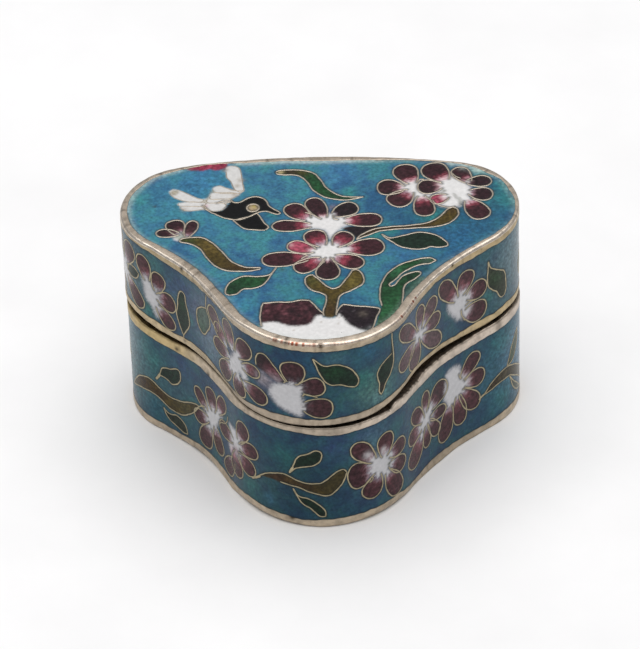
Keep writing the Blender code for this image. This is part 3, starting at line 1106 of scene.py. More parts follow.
def heart(where, points, soft=0.65):
    """The white middle of a flower, soft-edged, in a thin pink blush."""
    line = smooth(points, closed=True)
    lay(where, inside(where, line, soft + 0.25), where["tones"]["pink"], 0.3)
    lay(where, grainy(inside(where, line, soft)), where["tones"]["white"])


def chained(edges):
    """The same edges, each with the point in front where the one before it ends."""
    return [[before[-1], *edge] for before, edge in zip(edges[-1:] + edges[:-1], edges)]


def cell(where, edges, glass, shades=(), bare=(), loose=False):
    """A cell drawn edge by edge, each from where the one before ends; bare edges get no wire.

    Loose edges bring their own first points. Shades are x, y, size, glass and share.
    """
    edges = edges if loose else chained(edges)
    patch = inside(where, joined(edges))
    lay(where, patch, glass)
    for x, y, size, tone, share in shades:
        lay(where, patch, tone, share * blotch(patch, x, y, size))
    for k, edge in enumerate(edges):
        if k not in bare:
            wire(where, smooth(edge))
    return patch


def leaf(where, upper, lower, glass, shades=(), loose=False):
    """A cell between two long wires: lower gives the end they start from, upper the other."""
    return cell(where, [upper, lower[::-1]], glass, shades, loose=loose)


def flower(where, white, petals):
    """White heart first, then the petals over it, in the order given."""
    heart(where, white)
    for numbers in petals:
        petal(where, *numbers)


def glow(where, x, y, size, tone, share=0.5):
    """A cloud of another glass in the ground."""
    ring = np.array([x, y]) + 2.2 * size * np.array([[-1, -1], [1, -1], [1, 1], [-1, 1]])
    patch = inside(where, ring)
    lay(where, patch, tone, share * blotch(patch, x, y, size))


def speckle(where, patch, tone, count, size, share=0.7):
    """Small spots of another glass scattered over a patch."""
    points = patch[1][patch[2] > 0.9]
    for x, y in points[CHANCE.integers(0, len(points), count)]:
        lay(where, patch, tone, share * blotch(patch, x, y, size * CHANCE.uniform(0.6, 1.3)))


def stain(where, points, soft, glass, share):
    """Glass inside a smooth closed line, with a soft border and no wire."""
    lay(where, inside(where, smooth(points, closed=True), soft), glass, share)


print("glasses and forms ready")

# %% [markdown]
# ## The picture on the lid
#
# A spray of four blossoms stands over a stylised water-lily pad in front. A black bird with
# white feathers flies in from the left, and a few long leaves fill the ground. Such bird and
# flower scenes are a traditional stock of motifs. Positions are in millimetres from the middle
# of the box, x to the right and y to the back.

# %% Clouds in the ground of the lid
for x, y, size, tone, share in (
        (22, 8, 13.0, colour(30, 76, 98), 0.75), (2, -12, 8.0, colour(40, 98, 116), 0.5),
        (-20, 12, 9.0, colour(58, 122, 146), 0.5),
        (4.6, 13.9, 1.4, JADE, 0.5), (17.2, 8.0, 2.0, JADE, 0.6), (8.6, 3.3, 1.5, JADE, 0.6),
        (11.3, 4.3, 1.2, JADE, 0.5), (16.2, -5.0, 1.2, GREEN, 0.6), (2.6, -7.6, 1.2, JADE, 0.6),
        (-7.3, 9.0, 1.2, JADE, 0.5), (0.4, -12.5, 1.0, JADE, 0.6), (14.6, -9.0, 1.2, JADE, 0.6),
        (25.5, 19.3, 2.2, JADE, 0.5), (29, 12, 2.4, JADE, 0.4), (28.6, 15.4, 1.6, JADE, 0.45),
        (-28.5, 13, 2.2, JADE, 0.3),
        (2.0, 10.4, 0.8, CRIMSON, 0.35), (-12.5, -13.5, 2.5, colour(40, 110, 160), 0.35),
        (-18, 18, 4.0, colour(52, 104, 152), 0.45), (13, -1.5, 2.5, colour(56, 104, 156), 0.3),
        (21, 2, 4.5, colour(40, 92, 132), 0.5), (3, 19, 3.5, colour(66, 120, 166), 0.35)):
    glow(lid_top, x, y, size, tone, share)

# %% The upper blossom and its dark lower petal
cell(lid_top, [
    [(4.6, 5.5), (6.5, 5.5), (8.6, 5.5), (9.9, 5.4)],
    [(8.2, 4.7), (6.9, 3.6), (6.0, 2.4)],
    [(5.4, 3.3), (4.6, 4.3), (3.6, 5.0)]],
    DARK_PLUM, bare=(0, 1, 2))
flower(lid_top, [
    (-1.9, 6.6), (-1.7, 8.0), (-0.3, 8.7), (1.3, 8.9), (2.7, 8.4), (4.1, 7.9), (5.2, 7.4),
    (4.9, 6.2), (3.9, 5.6), (3.2, 4.9), (2.4, 3.6), (1.8, 2.6), (1.3, 3.6), (0.8, 4.7),
    (-0.3, 5.1), (-1.6, 5.3)], [
    (-3.5, 9.5, 4.3, 3.2, 133, 0.5), (-0.4, 10.5, 4.9, 2.9, 113, -0.1),
    (4.25, 9.85, 3.7, 3.1, 34, -0.5, DARK_PLUM), (7.1, 7.1, 5.3, 3.1, 2, 0.5),
    (-4.5, 5.95, 5.5, 2.6, 180, 0.55)])
glow(lid_top, 3.2, 9.1, 0.5, DARK_PLUM, 0.7)
wire(lid_top, smooth([(2.2, 8.4), (2.3, 7.6), (2.9, 7.3)]), 0.24)
wire(lid_top, smooth([(-2.2, 9.2), (-1.4, 8.9), (-0.8, 8.5)]), 0.24)

# %% The lower blossom
flower(lid_top, [
    (-1.8, -0.7), (-1.1, 0.2), (0.3, 0.6), (1.2, 1.6), (2.1, 1.7), (2.8, 0.9), (4.2, 0.5),
    (5.2, 0.0), (5.0, -0.9), (3.7, -1.4), (2.7, -2.0), (2.0, -2.8), (1.1, -2.9), (0.4, -2.3),
    (-0.6, -1.8), (-1.7, -1.5)], [
    (-5.3, -2.2, 6.7, 3.3, 184, 0.45), (-2.9, 0.65, 3.9, 2.7, 158, 0.35, colour(156, 72, 90)),
    (-0.5, 3.0, 3.6, 3.3, 118, 0.95), (3.8, 2.7, 3.2, 3.0, 58, 0.95),
    (7.5, 0.4, 5.2, 3.9, 7, 0.35), (4.9, -3.0, 4.3, 3.1, -24, 0.75),
    (-1.7, -3.8, 4.3, 3.0, 214, 0.95), (1.5, -5.0, 4.6, 3.3, -90, -0.2, PLUM, 22, 0.5)])
glow(lid_top, -4.3, 1.2, 0.45, colour(200, 168, 168), 0.6)
glow(lid_top, -5.5, -4.7, 0.5, colour(50, 70, 74), 0.6)
wire(lid_top, smooth([(0.3, -2.2), (0.8, -2.5), (0.9, -3.3)]), 0.24)
wire(lid_top, smooth([(2.3, -2.1), (2.3, -2.9), (2.9, -3.4)]), 0.24)
wire(lid_top, smooth([(-2.6, -2.2), (-2.0, -1.6), (-1.4, -1.3)]), 0.24)

# %% The two blossoms at the right
flower(lid_top, [
    (12.5, 16.2), (13.2, 17.0), (14.6, 17.3), (15.6, 16.6), (15.8, 15.2), (16.6, 14.0),
    (17.4, 13.0), (17.4, 11.8), (16.2, 11.3), (15.0, 11.6), (14.4, 13.0), (13.8, 14.2),
    (12.7, 14.8)], [
    (13.5, 18.75, 4.4, 3.7, 110, 0.15), (10.8, 15.2, 3.6, 3.6, 172, 0.0),
    (12.5, 12.25, 3.9, 3.7, 228, 0.35), (16.25, 10.1, 4.5, 3.1, 279, 0.5)])
flower(lid_top, [
    (18.2, 17.2), (19.4, 18.2), (21.2, 18.1), (22.7, 17.3), (23.3, 15.7), (23.5, 14.2),
    (23.4, 12.9), (23.2, 11.3), (22.7, 10.5), (22.3, 11.4), (21.7, 10.2), (20.5, 9.9),
    (19.2, 10.2), (18.2, 11.0), (18.6, 12.6), (18.2, 14.2), (17.9, 16.0)], [
    (16.9, 15.15, 3.2, 3.3, 184, -0.2), (18.1, 19.0, 4.5, 4.0, 122, 0.25, DARK_PLUM),
    (22.15, 18.3, 3.6, 2.7, 117, 0.15), (25.2, 16.4, 3.2, 2.6, 6, -0.5),
    (25.4, 13.15, 3.1, 3.0, -12, -0.3), (24.45, 9.15, 4.7, 3.4, -62, 0.25),
    (18.35, 12.0, 2.2, 2.3, 205, 0.5, colour(172, 76, 98))])
for slit in ([(18.8, 13.6), (19.3, 14.4), (19.8, 14.1), (19.3, 13.6)],
             [(20.7, 13.4), (21.1, 13.2), (21.6, 12.0), (21.2, 12.1)],
             [(21.6, 12.0), (21.9, 12.4), (22.2, 11.2), (22.0, 10.2), (21.6, 10.4)]):
    stain(lid_top, slit, 0.25, colour(130, 130, 124), 0.8)
wire(lid_top, smooth([(15.1, 16.2), (15.7, 17.0), (16.3, 17.1)]), 0.24)
wire(lid_top, smooth([(20.5, 18.8), (21.2, 17.8), (22.0, 17.1)]), 0.24)
wire(lid_top, smooth([(17.6, 11.9), (17.9, 11.1), (18.9, 10.3), (20.2, 9.9), (21.0, 10.1)]), 0.2)

# %% The small blossom at the left
heart(lid_top, [(-22.3, 3.6), (-21.8, 4.6), (-20.9, 4.9), (-20.4, 4.0), (-21.2, 2.8),
                (-22.0, 2.8)], 0.35)
stain(lid_top, [(-22.2, 3.4), (-21.6, 4.6), (-20.6, 4.6), (-21.0, 2.8)], 0.4,
      colour(140, 150, 134), 0.7)
petal(lid_top, -23.7, 4.6, 2.8, 1.9, 176, 0.0, DARK_PLUM, 24)
petal(lid_top, -22.2, 6.3, 3.0, 2.8, 108, 0.0, DARK_PLUM, 26)
petal(lid_top, -19.75, 5.9, 3.4, 1.9, 76, 0.0, PLUM, 24)
for x, y, size in ((-22.6, 4.6, 0.7), (-21.9, 5.4, 0.7), (-20.2, 5.0, 0.9)):
    glow(lid_top, x, y, size, colour(70, 46, 48), 0.75)

# %% Stem with its bud, and the leaves
leaf(lid_top, [
    (5.8, 2.4), (6.5, 3.4), (7.9, 4.5), (9.9, 5.2), (13.0, 5.5), (15.8, 5.9), (17.8, 6.8),
    (19.1, 8.3), (20.0, 9.6), (20.7, 10.0)], [
    (5.8, 2.3), (7.3, 3.2), (9.7, 4.4), (13.0, 4.8), (16.0, 5.0), (18.5, 5.3), (20.5, 6.4),
    (21.5, 8.0), (21.4, 9.5), (20.7, 10.0)],
    OLIVE, [(9, 4.6, 4, BROWN, 0.8), (15, 5.5, 2.5, BROWN, 0.6), (20.6, 9.2, 1, BROWN, 0.5)],
    loose=True)
leaf(lid_top, [
    (-20.8, 3.3), (-19.5, 3.5), (-17.8, 3.3), (-16.5, 2.2), (-15.0, 0.2), (-14.0, -1.5),
    (-12.8, -3.0), (-11.0, -4.0), (-8.8, -4.2)], [
    (-21.3, 2.9), (-21.3, 2.4), (-19.5, 1.8), (-18.0, 0.3), (-17.0, -1.8), (-15.5, -3.8),
    (-14.0, -4.7), (-11.5, -5.0), (-9.0, -4.6)],
    OLIVE, [(-20, 2.6, 1.4, GREEN, 0.5), (-17, 1, 1.6, colour(96, 80, 40), 0.6),
    (-12, -4.4, 2.5, BROWN, 0.6)])
leaf(lid_top, [
    (-6.9, 19.6), (-6.0, 20.0), (-4.0, 20.0), (-2.4, 19.8), (-0.8, 18.9), (0.2, 17.2), (0.8, 15.8),
    (2.0, 14.2), (3.5, 13.2), (5.0, 12.9), (6.8, 12.9)], [
    (-6.9, 19.4), (-6.4, 18.9), (-4.0, 18.7), (-2.7, 18.0), (-1.8, 16.5), (-1.0, 14.8),
    (0.3, 13.4), (2.0, 12.5), (4.0, 12.2), (5.4, 12.4), (6.8, 12.9)],
    GREEN, [(-4.5, 19.4, 1.8, BROWN, 0.9), (-6.3, 19.4, 0.6, colour(176, 160, 118), 1.0),
    (3, 12.8, 2, DARK_GREEN, 0.6), (-2.6, 19.4, 1.0, OLIVE, 0.6)], loose=True)
leaf(lid_top, [
    (11.0, 2.6), (13.0, 3.1), (15.0, 3.8), (17.0, 3.6), (18.5, 2.7), (19.7, 1.3), (19.8, 0.4)], [
    (9.7, 3.5), (10.4, 2.5), (11.4, 1.5), (12.8, 0.3), (14.5, -0.2), (16.2, -0.2), (17.2, 0.3),
    (18.6, 0.1)],
    DARK_GREEN, [(15, 2.6, 2, colour(24, 36, 30), 0.6)])
leaf(lid_top, [
    (-7.4, -5.9), (-9.0, -6.3), (-11.3, -6.2), (-13.0, -7.2), (-13.9, -8.8), (-14.0, -10.2),
    (-13.3, -10.7)], [
    (-6.4, -4.2), (-7.0, -5.6), (-7.7, -7.2), (-8.5, -8.5), (-9.8, -9.1), (-11.3, -9.3),
    (-12.2, -10.3)],
    GREEN, [(-12.8, -9, 1.6, DARK_GREEN, 0.8), (-7.5, -6.4, 1.2, DARK_GREEN, 0.8)])

# %% The split green leaf at the right
glow(lid_top, 13.8, -5.9, 1.2, colour(44, 84, 70), 0.8)
under_split = joined([[(14.6, -7.2), (16.4, -7.0), (15.6, -9.2), (14.3, -11.2), (13.2, -12.8)],
                      [(13.2, -12.8), (12.9, -10.0), (14.6, -7.2)]])
lay(lid_top, inside(lid_top, under_split, 0.5), colour(34, 64, 48), 0.9)
cell(lid_top, [
    [(9.2, -16.5), (9.7, -13.8)],
    [(9.4, -11.0), (9.8, -8.0), (11.0, -5.5), (12.8, -3.8), (15.0, -2.8), (17.0, -2.4),
    (18.0, -3.1)],
    [(17.0, -3.8), (16.0, -3.9), (14.5, -4.6), (13.0, -5.8), (12.0, -7.2), (10.9, -8.6),
    (11.1, -9.2)],
    [(11.7, -8.8), (12.3, -7.6), (13.2, -6.5), (14.5, -5.8), (15.5, -5.8), (15.6, -6.4)],
    [(14.8, -7.4), (13.5, -8.5), (13.0, -10.0), (12.9, -12.0), (12.7, -14.5)],
    [(12.6, -15.9), (11.2, -17.8), (8.7, -19.2)]],
    GREEN, [(14, -6.6, 1.3, DARK_GREEN, 0.8), (11, -7.5, 1.4, DARK_GREEN, 0.7),
    (12.2, -5.6, 1.2, colour(46, 98, 66), 0.6), (16.5, -3.3, 0.9, SAGE, 0.7),
    (11, -15, 2, colour(40, 90, 56), 0.6)], bare=(0, 5))

# %% The forked olive stem and the lily pad
cell(lid_top, [
    [(-1.4, -6.2), (-1.9, -7.0), (-1.8, -8.5), (-0.8, -9.8), (0.5, -10.5), (1.3, -11.2),
    (1.3, -12.5), (0.9, -15.0), (1.0, -15.9)],
    [(1.4, -16.3), (2.3, -16.3), (2.8, -15.8)],
    [(3.0, -13.5), (3.2, -11.8), (3.8, -10.8), (5.3, -9.8), (6.7, -8.6), (7.0, -7.2), (6.6, -5.8),
    (5.8, -5.0), (5.2, -5.2)],
    [(4.4, -7.0), (3.4, -8.8), (2.4, -9.5), (1.5, -9.0), (0.3, -7.5), (-0.8, -6.1)]],
    OLIVE, [(-1, -7.5, 1.2, colour(74, 76, 40), 0.6), (1.8, -14.5, 1.8, BROWN, 0.6),
    (5.3, -8, 1.5, colour(104, 92, 44), 0.7)], bare=(1,))
pad_left = cell(lid_top, [
    [(-8.6, -16.0), (-8.5, -14.0), (-8.2, -12.7)],
    [(-6.0, -12.5), (-4.0, -12.5), (-2.5, -12.1), (-1.2, -12.2)],
    [(-0.5, -13.3), (0.2, -14.4), (0.9, -15.3)],
    [(0.4, -17.0), (-1.0, -19.0), (-5.0, -20.0), (-8.4, -18.2)]],
    PLUM, bare=(3,))
lay(lid_top, pad_left, CRIMSON, 0.12)
speckle(lid_top, pad_left, colour(126, 76, 84), 36, 0.3, 0.4)
speckle(lid_top, pad_left, DARK_PLUM, 14, 0.7, 0.7)
pad_right = cell(lid_top, [
    [(3.4, -13.9), (3.9, -13.3)],
    [(6.0, -13.7), (9.1, -14.2), (9.4, -14.9)],
    [(8.9, -16.6), (8.2, -19.7)],
    [(6.0, -20.0), (3.0, -18.0), (2.8, -15.6)]],
    colour(32, 24, 29), [(6.9, -15.6, 0.7, SHADE, 0.2)], bare=(3,))
speckle(lid_top, pad_right, colour(110, 100, 106), 12, 0.22, 0.25)
lay(lid_top, grainy(inside(lid_top, joined([
    [(-8.5, -17.4), (-7.2, -17.2), (-6.0, -17.3), (-5.0, -17.8), (-3.8, -18.2), (-2.6, -18.2),
     (-1.3, -17.9), (-0.6, -17.0), (-0.1, -15.9), (0.9, -15.8)],
    [(0.9, -15.8), (1.0, -16.3), (1.9, -16.5), (2.8, -16.3), (3.2, -15.5)],
    [(3.2, -15.5), (3.9, -16.4), (4.6, -17.7), (6.0, -19.0), (8.1, -19.9)],
    [(8.1, -19.9), (7.0, -22.6), (0.0, -23.5), (-8.0, -22.5), (-8.5, -17.4)]]), 0.38), 0.1),
    TOP_TONES["white"])
for x, y in ((3.3, -16.4), (3.2, -17.8), (-3.5, -19.2), (0.6, -17.4)):
    glow(lid_top, x, y, 0.18, SHADE, 0.6)

# %% [markdown]
# ## The bird
#
# Its body is one black cell with a ring for the eye, its beak and breast run on one wire, and
# a lower wing hangs under it. The feathers of wing and tail are separate strips of white glass,
# each a little grey along its sides and fenced by a wire so fine that it stays pale.

# %% The bird
def feather(where, points):
    """A strip of white glass, grey at its border, in the finest wire."""
    line = smooth(points, closed=True)
    lay(where, inside(where, line, 0.4), SHADE, 0.45)
    lay(where, inside(where, line, 0.2), FEATHER)
    wire(where, line[len(line) // 8:], 0.16)


FEATHER = colour(200, 198, 196)
under_feathers = [
    (-16.8, 14.8), (-15.8, 15.8), (-14.0, 15.4), (-12.4, 14.9), (-12.9, 13.8), (-14.0, 12.4),
    (-14.8, 11.0), (-17.0, 10.2), (-18.6, 10.5), (-20.0, 11.2), (-19.8, 12.4), (-17.8, 13.0),
    (-17.2, 13.8)]
stain(lid_top, under_feathers, 0.35, colour(178, 172, 160), 0.95)
for points in (
        [(-14.7, 19.8), (-14.9, 20.7), (-14.4, 21.2), (-13.5, 21.2), (-12.7, 20.6),
         (-12.3, 19.0), (-12.1, 17.0), (-11.8, 15.0), (-12.4, 14.7), (-13.2, 15.2),
         (-13.6, 16.2), (-13.9, 17.3), (-14.6, 18.4)],
        [(-16.7, 15.4), (-16.4, 16.0), (-15.5, 16.2), (-14.4, 15.5), (-13.2, 14.9),
         (-12.0, 15.0), (-12.5, 14.3), (-14.0, 14.5), (-16.2, 14.6)],
        [(-17.0, 13.7), (-16.6, 14.5), (-15.0, 14.3), (-13.6, 14.2), (-12.4, 14.2),
         (-13.2, 13.4), (-14.4, 12.9), (-16.8, 12.9)],
        [(-17.4, 12.8), (-15.6, 12.9), (-14.0, 12.8), (-13.7, 12.2), (-15.2, 11.9),
         (-17.2, 12.0)],
        [(-23.4, 14.8), (-22.9, 15.5), (-21.9, 15.2), (-20.4, 14.2), (-18.9, 13.1),
         (-18.0, 12.7), (-18.6, 12.2), (-20.6, 12.4), (-22.0, 13.0), (-22.9, 13.8)],
        [(-21.9, 12.0), (-20.4, 12.3), (-18.6, 12.2), (-17.6, 11.9), (-18.4, 11.1),
         (-20.4, 11.2), (-21.8, 11.4)],
        [(-21.6, 11.0), (-20.6, 11.2), (-18.6, 11.1), (-17.8, 10.6), (-18.9, 10.2),
         (-20.6, 10.1), (-21.3, 10.5)]):
    feather(lid_top, points)
for x, y, size in ((-12.4, 17.6, 0.6), (-12.9, 16.2, 0.5), (-13.2, 13.9, 0.5),
                   (-21.0, 10.4, 0.5), (-14.9, 20.3, 0.5)):
    glow(lid_top, x, y, size, SHADE, 0.6)
glow(lid_top, -16.7, 14.9, 0.4, colour(112, 138, 142), 0.7)
# The grey at the tip of the top feather is painted shade.
glow(lid_top, -14.9, 20.3, 0.4, colour(104, 108, 116), 0.6)
stain(lid_top, [(-23.3, 14.7), (-22.9, 15.3), (-22.0, 15.0), (-22.3, 14.2), (-22.9, 14.0)], 0.3,
      colour(150, 142, 124), 0.9)
cell(lid_top, [
    [(-16.8, 9.6), (-16.0, 9.1), (-14.5, 8.1), (-13.0, 7.7), (-12.0, 7.8), (-11.0, 8.3),
    (-10.0, 9.1), (-9.0, 9.6), (-8.0, 9.6), (-7.2, 9.2), (-6.5, 8.9), (-6.0, 9.1), (-6.2, 9.5)],
    [(-7.0, 10.1), (-7.8, 11.0), (-8.3, 12.3), (-9.2, 13.2), (-10.2, 13.4), (-11.3, 12.9),
    (-12.3, 12.1), (-13.3, 12.0), (-13.7, 12.5)],
    [(-14.3, 11.2), (-15.2, 10.0), (-16.6, 9.9), (-17.7, 10.6)]],
    BLACK, bare=(2,))
feather(lid_top, [(-17.9, 11.4), (-17.2, 11.9), (-15.4, 11.9), (-14.5, 11.4), (-14.9, 10.4),
                  (-15.6, 10.0), (-17.0, 10.1)])
glow(lid_top, -17.6, 11.2, 0.4, PINK, 0.5)
wire(lid_top, smooth([(-16.0, 11.9), (-14.9, 12.4), (-13.9, 12.3)]), 0.22)
wire(lid_top, smooth([(-18.1, 11.3), (-17.6, 10.7), (-17.2, 10.1)]), 0.24)
leaf(lid_top, [
    (-10.9, 8.4), (-9.7, 9.3), (-9.5, 8.9), (-9.0, 8.0), (-8.4, 6.7), (-7.8, 5.7), (-8.3, 5.0)], [
    (-13.3, 7.6), (-12.3, 6.2), (-11.3, 5.4), (-10.0, 5.1)],
    BLACK)
eye = np.array([-10.3, 10.6]) + 0.95 * ray(np.arange(24) * TAU / 24)
lay(lid_top, inside(lid_top, eye), BEIGE)
wire(lid_top, eye, 0.3, closed=True)
glow(lid_top, -10.1, 10.9, 0.35, colour(176, 160, 90), 0.8)

# %% The crimson cloud at the back edge, and stray marks
cloud = inside(lid_top, smooth([(-20.6, 20.4), (-19.5, 20.3), (-18.5, 20.1), (-17.4, 20.6),
                                (-16.4, 20.2), (-15.2, 20.6), (-14.6, 21.4), (-15.0, 23.5),
                                (-18.0, 23.5), (-20.8, 22.6), (-21.4, 21.4)], closed=True), 0.3)
lay(lid_top, grainy(cloud), colour(120, 38, 60))
speckle(lid_top, cloud, colour(150, 60, 78), 6, 0.6)
glow(lid_top, -25.6, 11.3, 0.28, colour(60, 66, 60), 0.8)
# Beside the back rim the glass is painted paler, more in some stretches than in others.
PALE = colour(180, 196, 190)
halo = uneven([-88, -76, -72, -70, -65, -62, -50, -44, -38, 45, 50, 55, 59, 63, 66, 75, 82, 88],
              [0.8, 0.85, 0.75, 0, 0, 0.6, 0.6, 0.45, 0.2, 0.1, 0.3, 0.2, 0.4, 0.6, 0.1, 0.5,
               1.0, 0.8])
lip = np.exp(-(np.clip(lid_top["rim"] - 0.15, 0, 9) / 0.6) ** 2)
for x, y, size in ((22.6, 20.2, 0.8), (20.6, 20.9, 0.6), (24.6, 19.3, 0.9)):
    glow(lid_top, x, y, size, PALE, 0.7)
patch = np.arange(lip.size), None, lip * np.tile(halo, TOP_ROWS)
lay(lid_top, patch, PALE, 0.75)
print("wires on the lid's top:", len(lid_top["wires"]))

# %% [markdown]
# ## The walls of the lid
#
# The walls carry the same stock: blossoms in twos and threes where the hollows are, single
# leaves between them. Across is the distance from the middle of the front, to the right, and up
# is the height above the lid's mouth.

# %% Ground clouds, painted reflection and painted shade on the lid's wall
INDIGO = colour(52, 66, 112)
# The pale grey-blue clouds on the lobes and in the hollows are painted reflection of the bright
# floor, and the dark one in the middle of the front is painted shade; the rest are the glass's own
# clouds.
for x, y, size, tone, share in (
        (-44, 8, 8, colour(66, 108, 114), 0.5), (46, 8, 9, colour(66, 104, 112), 0.6),
        (-43, 8, 7, colour(104, 112, 116), 0.4), (43, 8, 7, colour(100, 110, 118), 0.45),
        (-24, 9, 5, colour(112, 118, 142), 0.55), (9, 5, 4, colour(82, 128, 112), 0.6),
        (20, 9, 5, colour(98, 108, 138), 0.4), (-33, 7, 4, colour(70, 100, 116), 0.4),
        (-1, 8, 4, colour(24, 48, 66), 0.5), (-12, 12, 3, colour(30, 54, 78), 0.4),
        (-30, 12, 2.0, INDIGO, 0.45), (-33, 10, 1.5, INDIGO, 0.35), (-38, 3, 1.6, JADE, 0.35),
        (-36, 12.5, 2.2, JADE, 0.25), (-28.6, 6, 1.2, JADE, 0.35), (6.8, 8, 1.6, JADE, 0.35),
        (0.4, 8.5, 1.0, JADE, 0.3), (8, 13, 2.0, colour(48, 98, 126), 0.5),
        (37, 5, 1.3, JADE, 0.3), (-2, 12.5, 3.0, colour(36, 78, 104), 0.4),
        (35.5, 13.5, 2.5, colour(46, 96, 106), 0.4), (13.5, 7, 1.0, SAGE, 0.4),
        (-39, 11, 3, colour(104, 132, 140), 0.3), (42.5, 11.5, 4, colour(122, 152, 160), 0.3),
        (-23.5, 4, 3, colour(124, 146, 160), 0.3), (10, 3.5, 2, colour(104, 134, 140), 0.4),
        (2.5, 12.5, 2.2, colour(80, 120, 130), 0.35)):
    glow(lid_wall, x, y, size, tone, share)

# %% Left lobe of the lid
flower(lid_wall, [
    (-48.0, 6.4), (-47.2, 8.2), (-45.6, 9.4), (-44.0, 8.6), (-42.2, 7.3), (-41.8, 5.6),
    (-43.2, 5.0), (-45.0, 5.4), (-46.6, 4.6)], [
    (-42.6, 11.8, 4.8, 3.4, 62, 0.2), (-46.6, 12.4, 4.4, 3.2, 105, 0.3),
    (-50.4, 9.6, 4.6, 3.2, 158, 0.3), (-50.0, 5.0, 4.4, 3.0, 205, 0.2),
    (-46.3, 3.2, 3.6, 3.0, 262, 0.3), (-41.1, 4.5, 5.2, 3.0, -48, 0.1)])
leaf(lid_wall, [
    (-42.6, 9.4), (-41.0, 9.9), (-39.8, 9.2)], [
    (-43.3, 8.0), (-41.8, 7.6), (-40.4, 8.0)],
    DARK_GREEN)
flower(lid_wall, [
    (-39.0, 9.2), (-38.0, 9.4), (-36.8, 8.0), (-35.9, 6.2), (-35.5, 4.8), (-35.7, 3.0),
    (-36.4, 2.4), (-37.3, 4.0), (-38.4, 5.2), (-38.7, 7.0)], [
    (-38.6, 11.5, 4.2, 2.8, 103, 0.5), (-35.65, 9.8, 3.5, 2.8, 80, 0.25),
    (-33.8, 6.6, 3.5, 3.4, 2, 0.3), (-34.2, 2.9, 3.9, 2.8, -42, 0.3)])
cell(lid_wall, [
    [(-31.5, 3.8), (-31.9, 5.5), (-31.6, 7.2), (-31.3, 9.3), (-30.9, 10.4), (-30.2, 10.7),
    (-29.7, 10.2), (-29.5, 8.5), (-29.1, 7.0), (-28.9, 5.5), (-29.3, 4.0), (-30.6, 1.9)]],
    DARK_GREEN, [(-30.3, 8, 1.2, GREEN, 0.4)])
wire(lid_wall, smooth([(-30.6, 1.9), (-30.6, 1.3)]))
cell(lid_wall, [
    [(-25.6, 10.6), (-26.6, 9.6), (-26.9, 8.3), (-26.8, 7.0), (-26.2, 5.9), (-25.6, 5.4),
    (-24.9, 5.6), (-24.3, 6.6), (-23.4, 8.0), (-23.4, 9.6), (-24.2, 11.2)]],
    SAGE, [(-25.5, 6.5, 1.2, GREEN, 0.4)])
wire(lid_wall, smooth([(-24.1, 10.8), (-24.2, 12.2), (-24.0, 14.0)]), 0.24)

# %% Two blossoms left of the front
flower(lid_wall, [
    (-18.9, 4.6), (-17.2, 6.4), (-16.2, 7.6), (-15.0, 9.6), (-14.2, 9.9), (-13.6, 8.7),
    (-13.0, 7.8), (-12.6, 6.6), (-12.3, 5.4), (-13.3, 4.7), (-14.1, 5.7), (-15.2, 3.7),
    (-16.2, 3.9), (-17.4, 4.4)], [
    (-22.0, 11.1, 3.8, 2.8, 125, 0.1, PLUM_UNDER_SHEEN), (-17.2, 11.5, 4.4, 3.4, 112, 0.5, PLUM_UNDER_SHEEN),
    (-20.3, 9.2, 3.6, 2.6, 150, 0.7, PLUM_UNDER_SHEEN), (-20.2, 6.3, 4.4, 2.9, 185, 0.2),
    (-18.9, 2.8, 4.4, 3.4, 225, 0.1), (-14.6, 2.4, 3.4, 3.3, -88, 0.1),
    (-10.5, 3.5, 4.3, 3.2, -14, 0.4, PLUM), (-11.2, 7.8, 3.2, 2.4, 10, 0.8),
    (-13.0, 10.9, 4.2, 3.4, 52, 0.1)])
# A pale pink-grey veil over these petals in the hollow: painted reflection.
for x, y, size in ((-20.6, 10.8, 0.8), (-18.6, 11.0, 0.7), (-17.4, 9.8, 0.6)):
    glow(lid_wall, x, y, size, colour(150, 118, 130), 0.6)
glow(lid_wall, -8.9, 7.4, 1.5, HAZE, 0.9)
flower(lid_wall, [
    (-7.9, 5.2), (-7.2, 3.9), (-6.1, 2.9), (-4.6, 2.3), (-2.9, 1.9), (-2.4, 3.2), (-2.5, 5.0),
    (-2.6, 6.9), (-3.3, 7.7), (-4.8, 7.9), (-6.2, 7.4), (-7.4, 6.8)], [
    (-3.9, 10.4, 3.8, 3.7, 96, -0.6, None, 44), (-0.7, 7.7, 3.4, 3.4, 12, -0.7, None, 44),
    (0.0, 3.5, 4.2, 3.7, -6, -0.6, None, 40)])
glow(lid_wall, -3.2, 8.45, 0.35, DARK_PLUM, 0.9)
long_petal = inside(lid_wall, joined([
    [(-10.0, 9.2), (-10.3, 10.6), (-9.8, 11.9), (-8.9, 12.4), (-8.0, 12.0), (-7.0, 10.9),
     (-6.0, 9.5), (-5.2, 8.2)], [(-5.2, 8.2), (-6.4, 7.8), (-8.4, 8.8), (-10.0, 9.2)]]), 0.3)
lay(lid_wall, long_petal, PLUM)
lay(lid_wall, long_petal, CRIMSON, 0.7 * blotch(long_petal, -6.9, 9.2, 1.5))
lay(lid_wall, long_petal, HAZE, 0.9 * blotch(long_petal, -7.0, 7.6, 1.6))
wire(lid_wall, smooth([(-10.2, 9.6), (-10.2, 10.7), (-9.8, 11.9), (-8.9, 12.4), (-8.0, 12.0),
                       (-7.0, 10.9), (-6.0, 9.5), (-5.1, 8.2), (-5.4, 8.0)]))
wire(lid_wall, smooth([(-3.6, 7.9), (-3.1, 8.0), (-2.6, 8.7)]), 0.26)
wire(lid_wall, smooth([(-2.5, 5.8), (-2.0, 6.2), (-0.8, 5.9), (-0.2, 5.7)]), 0.26)

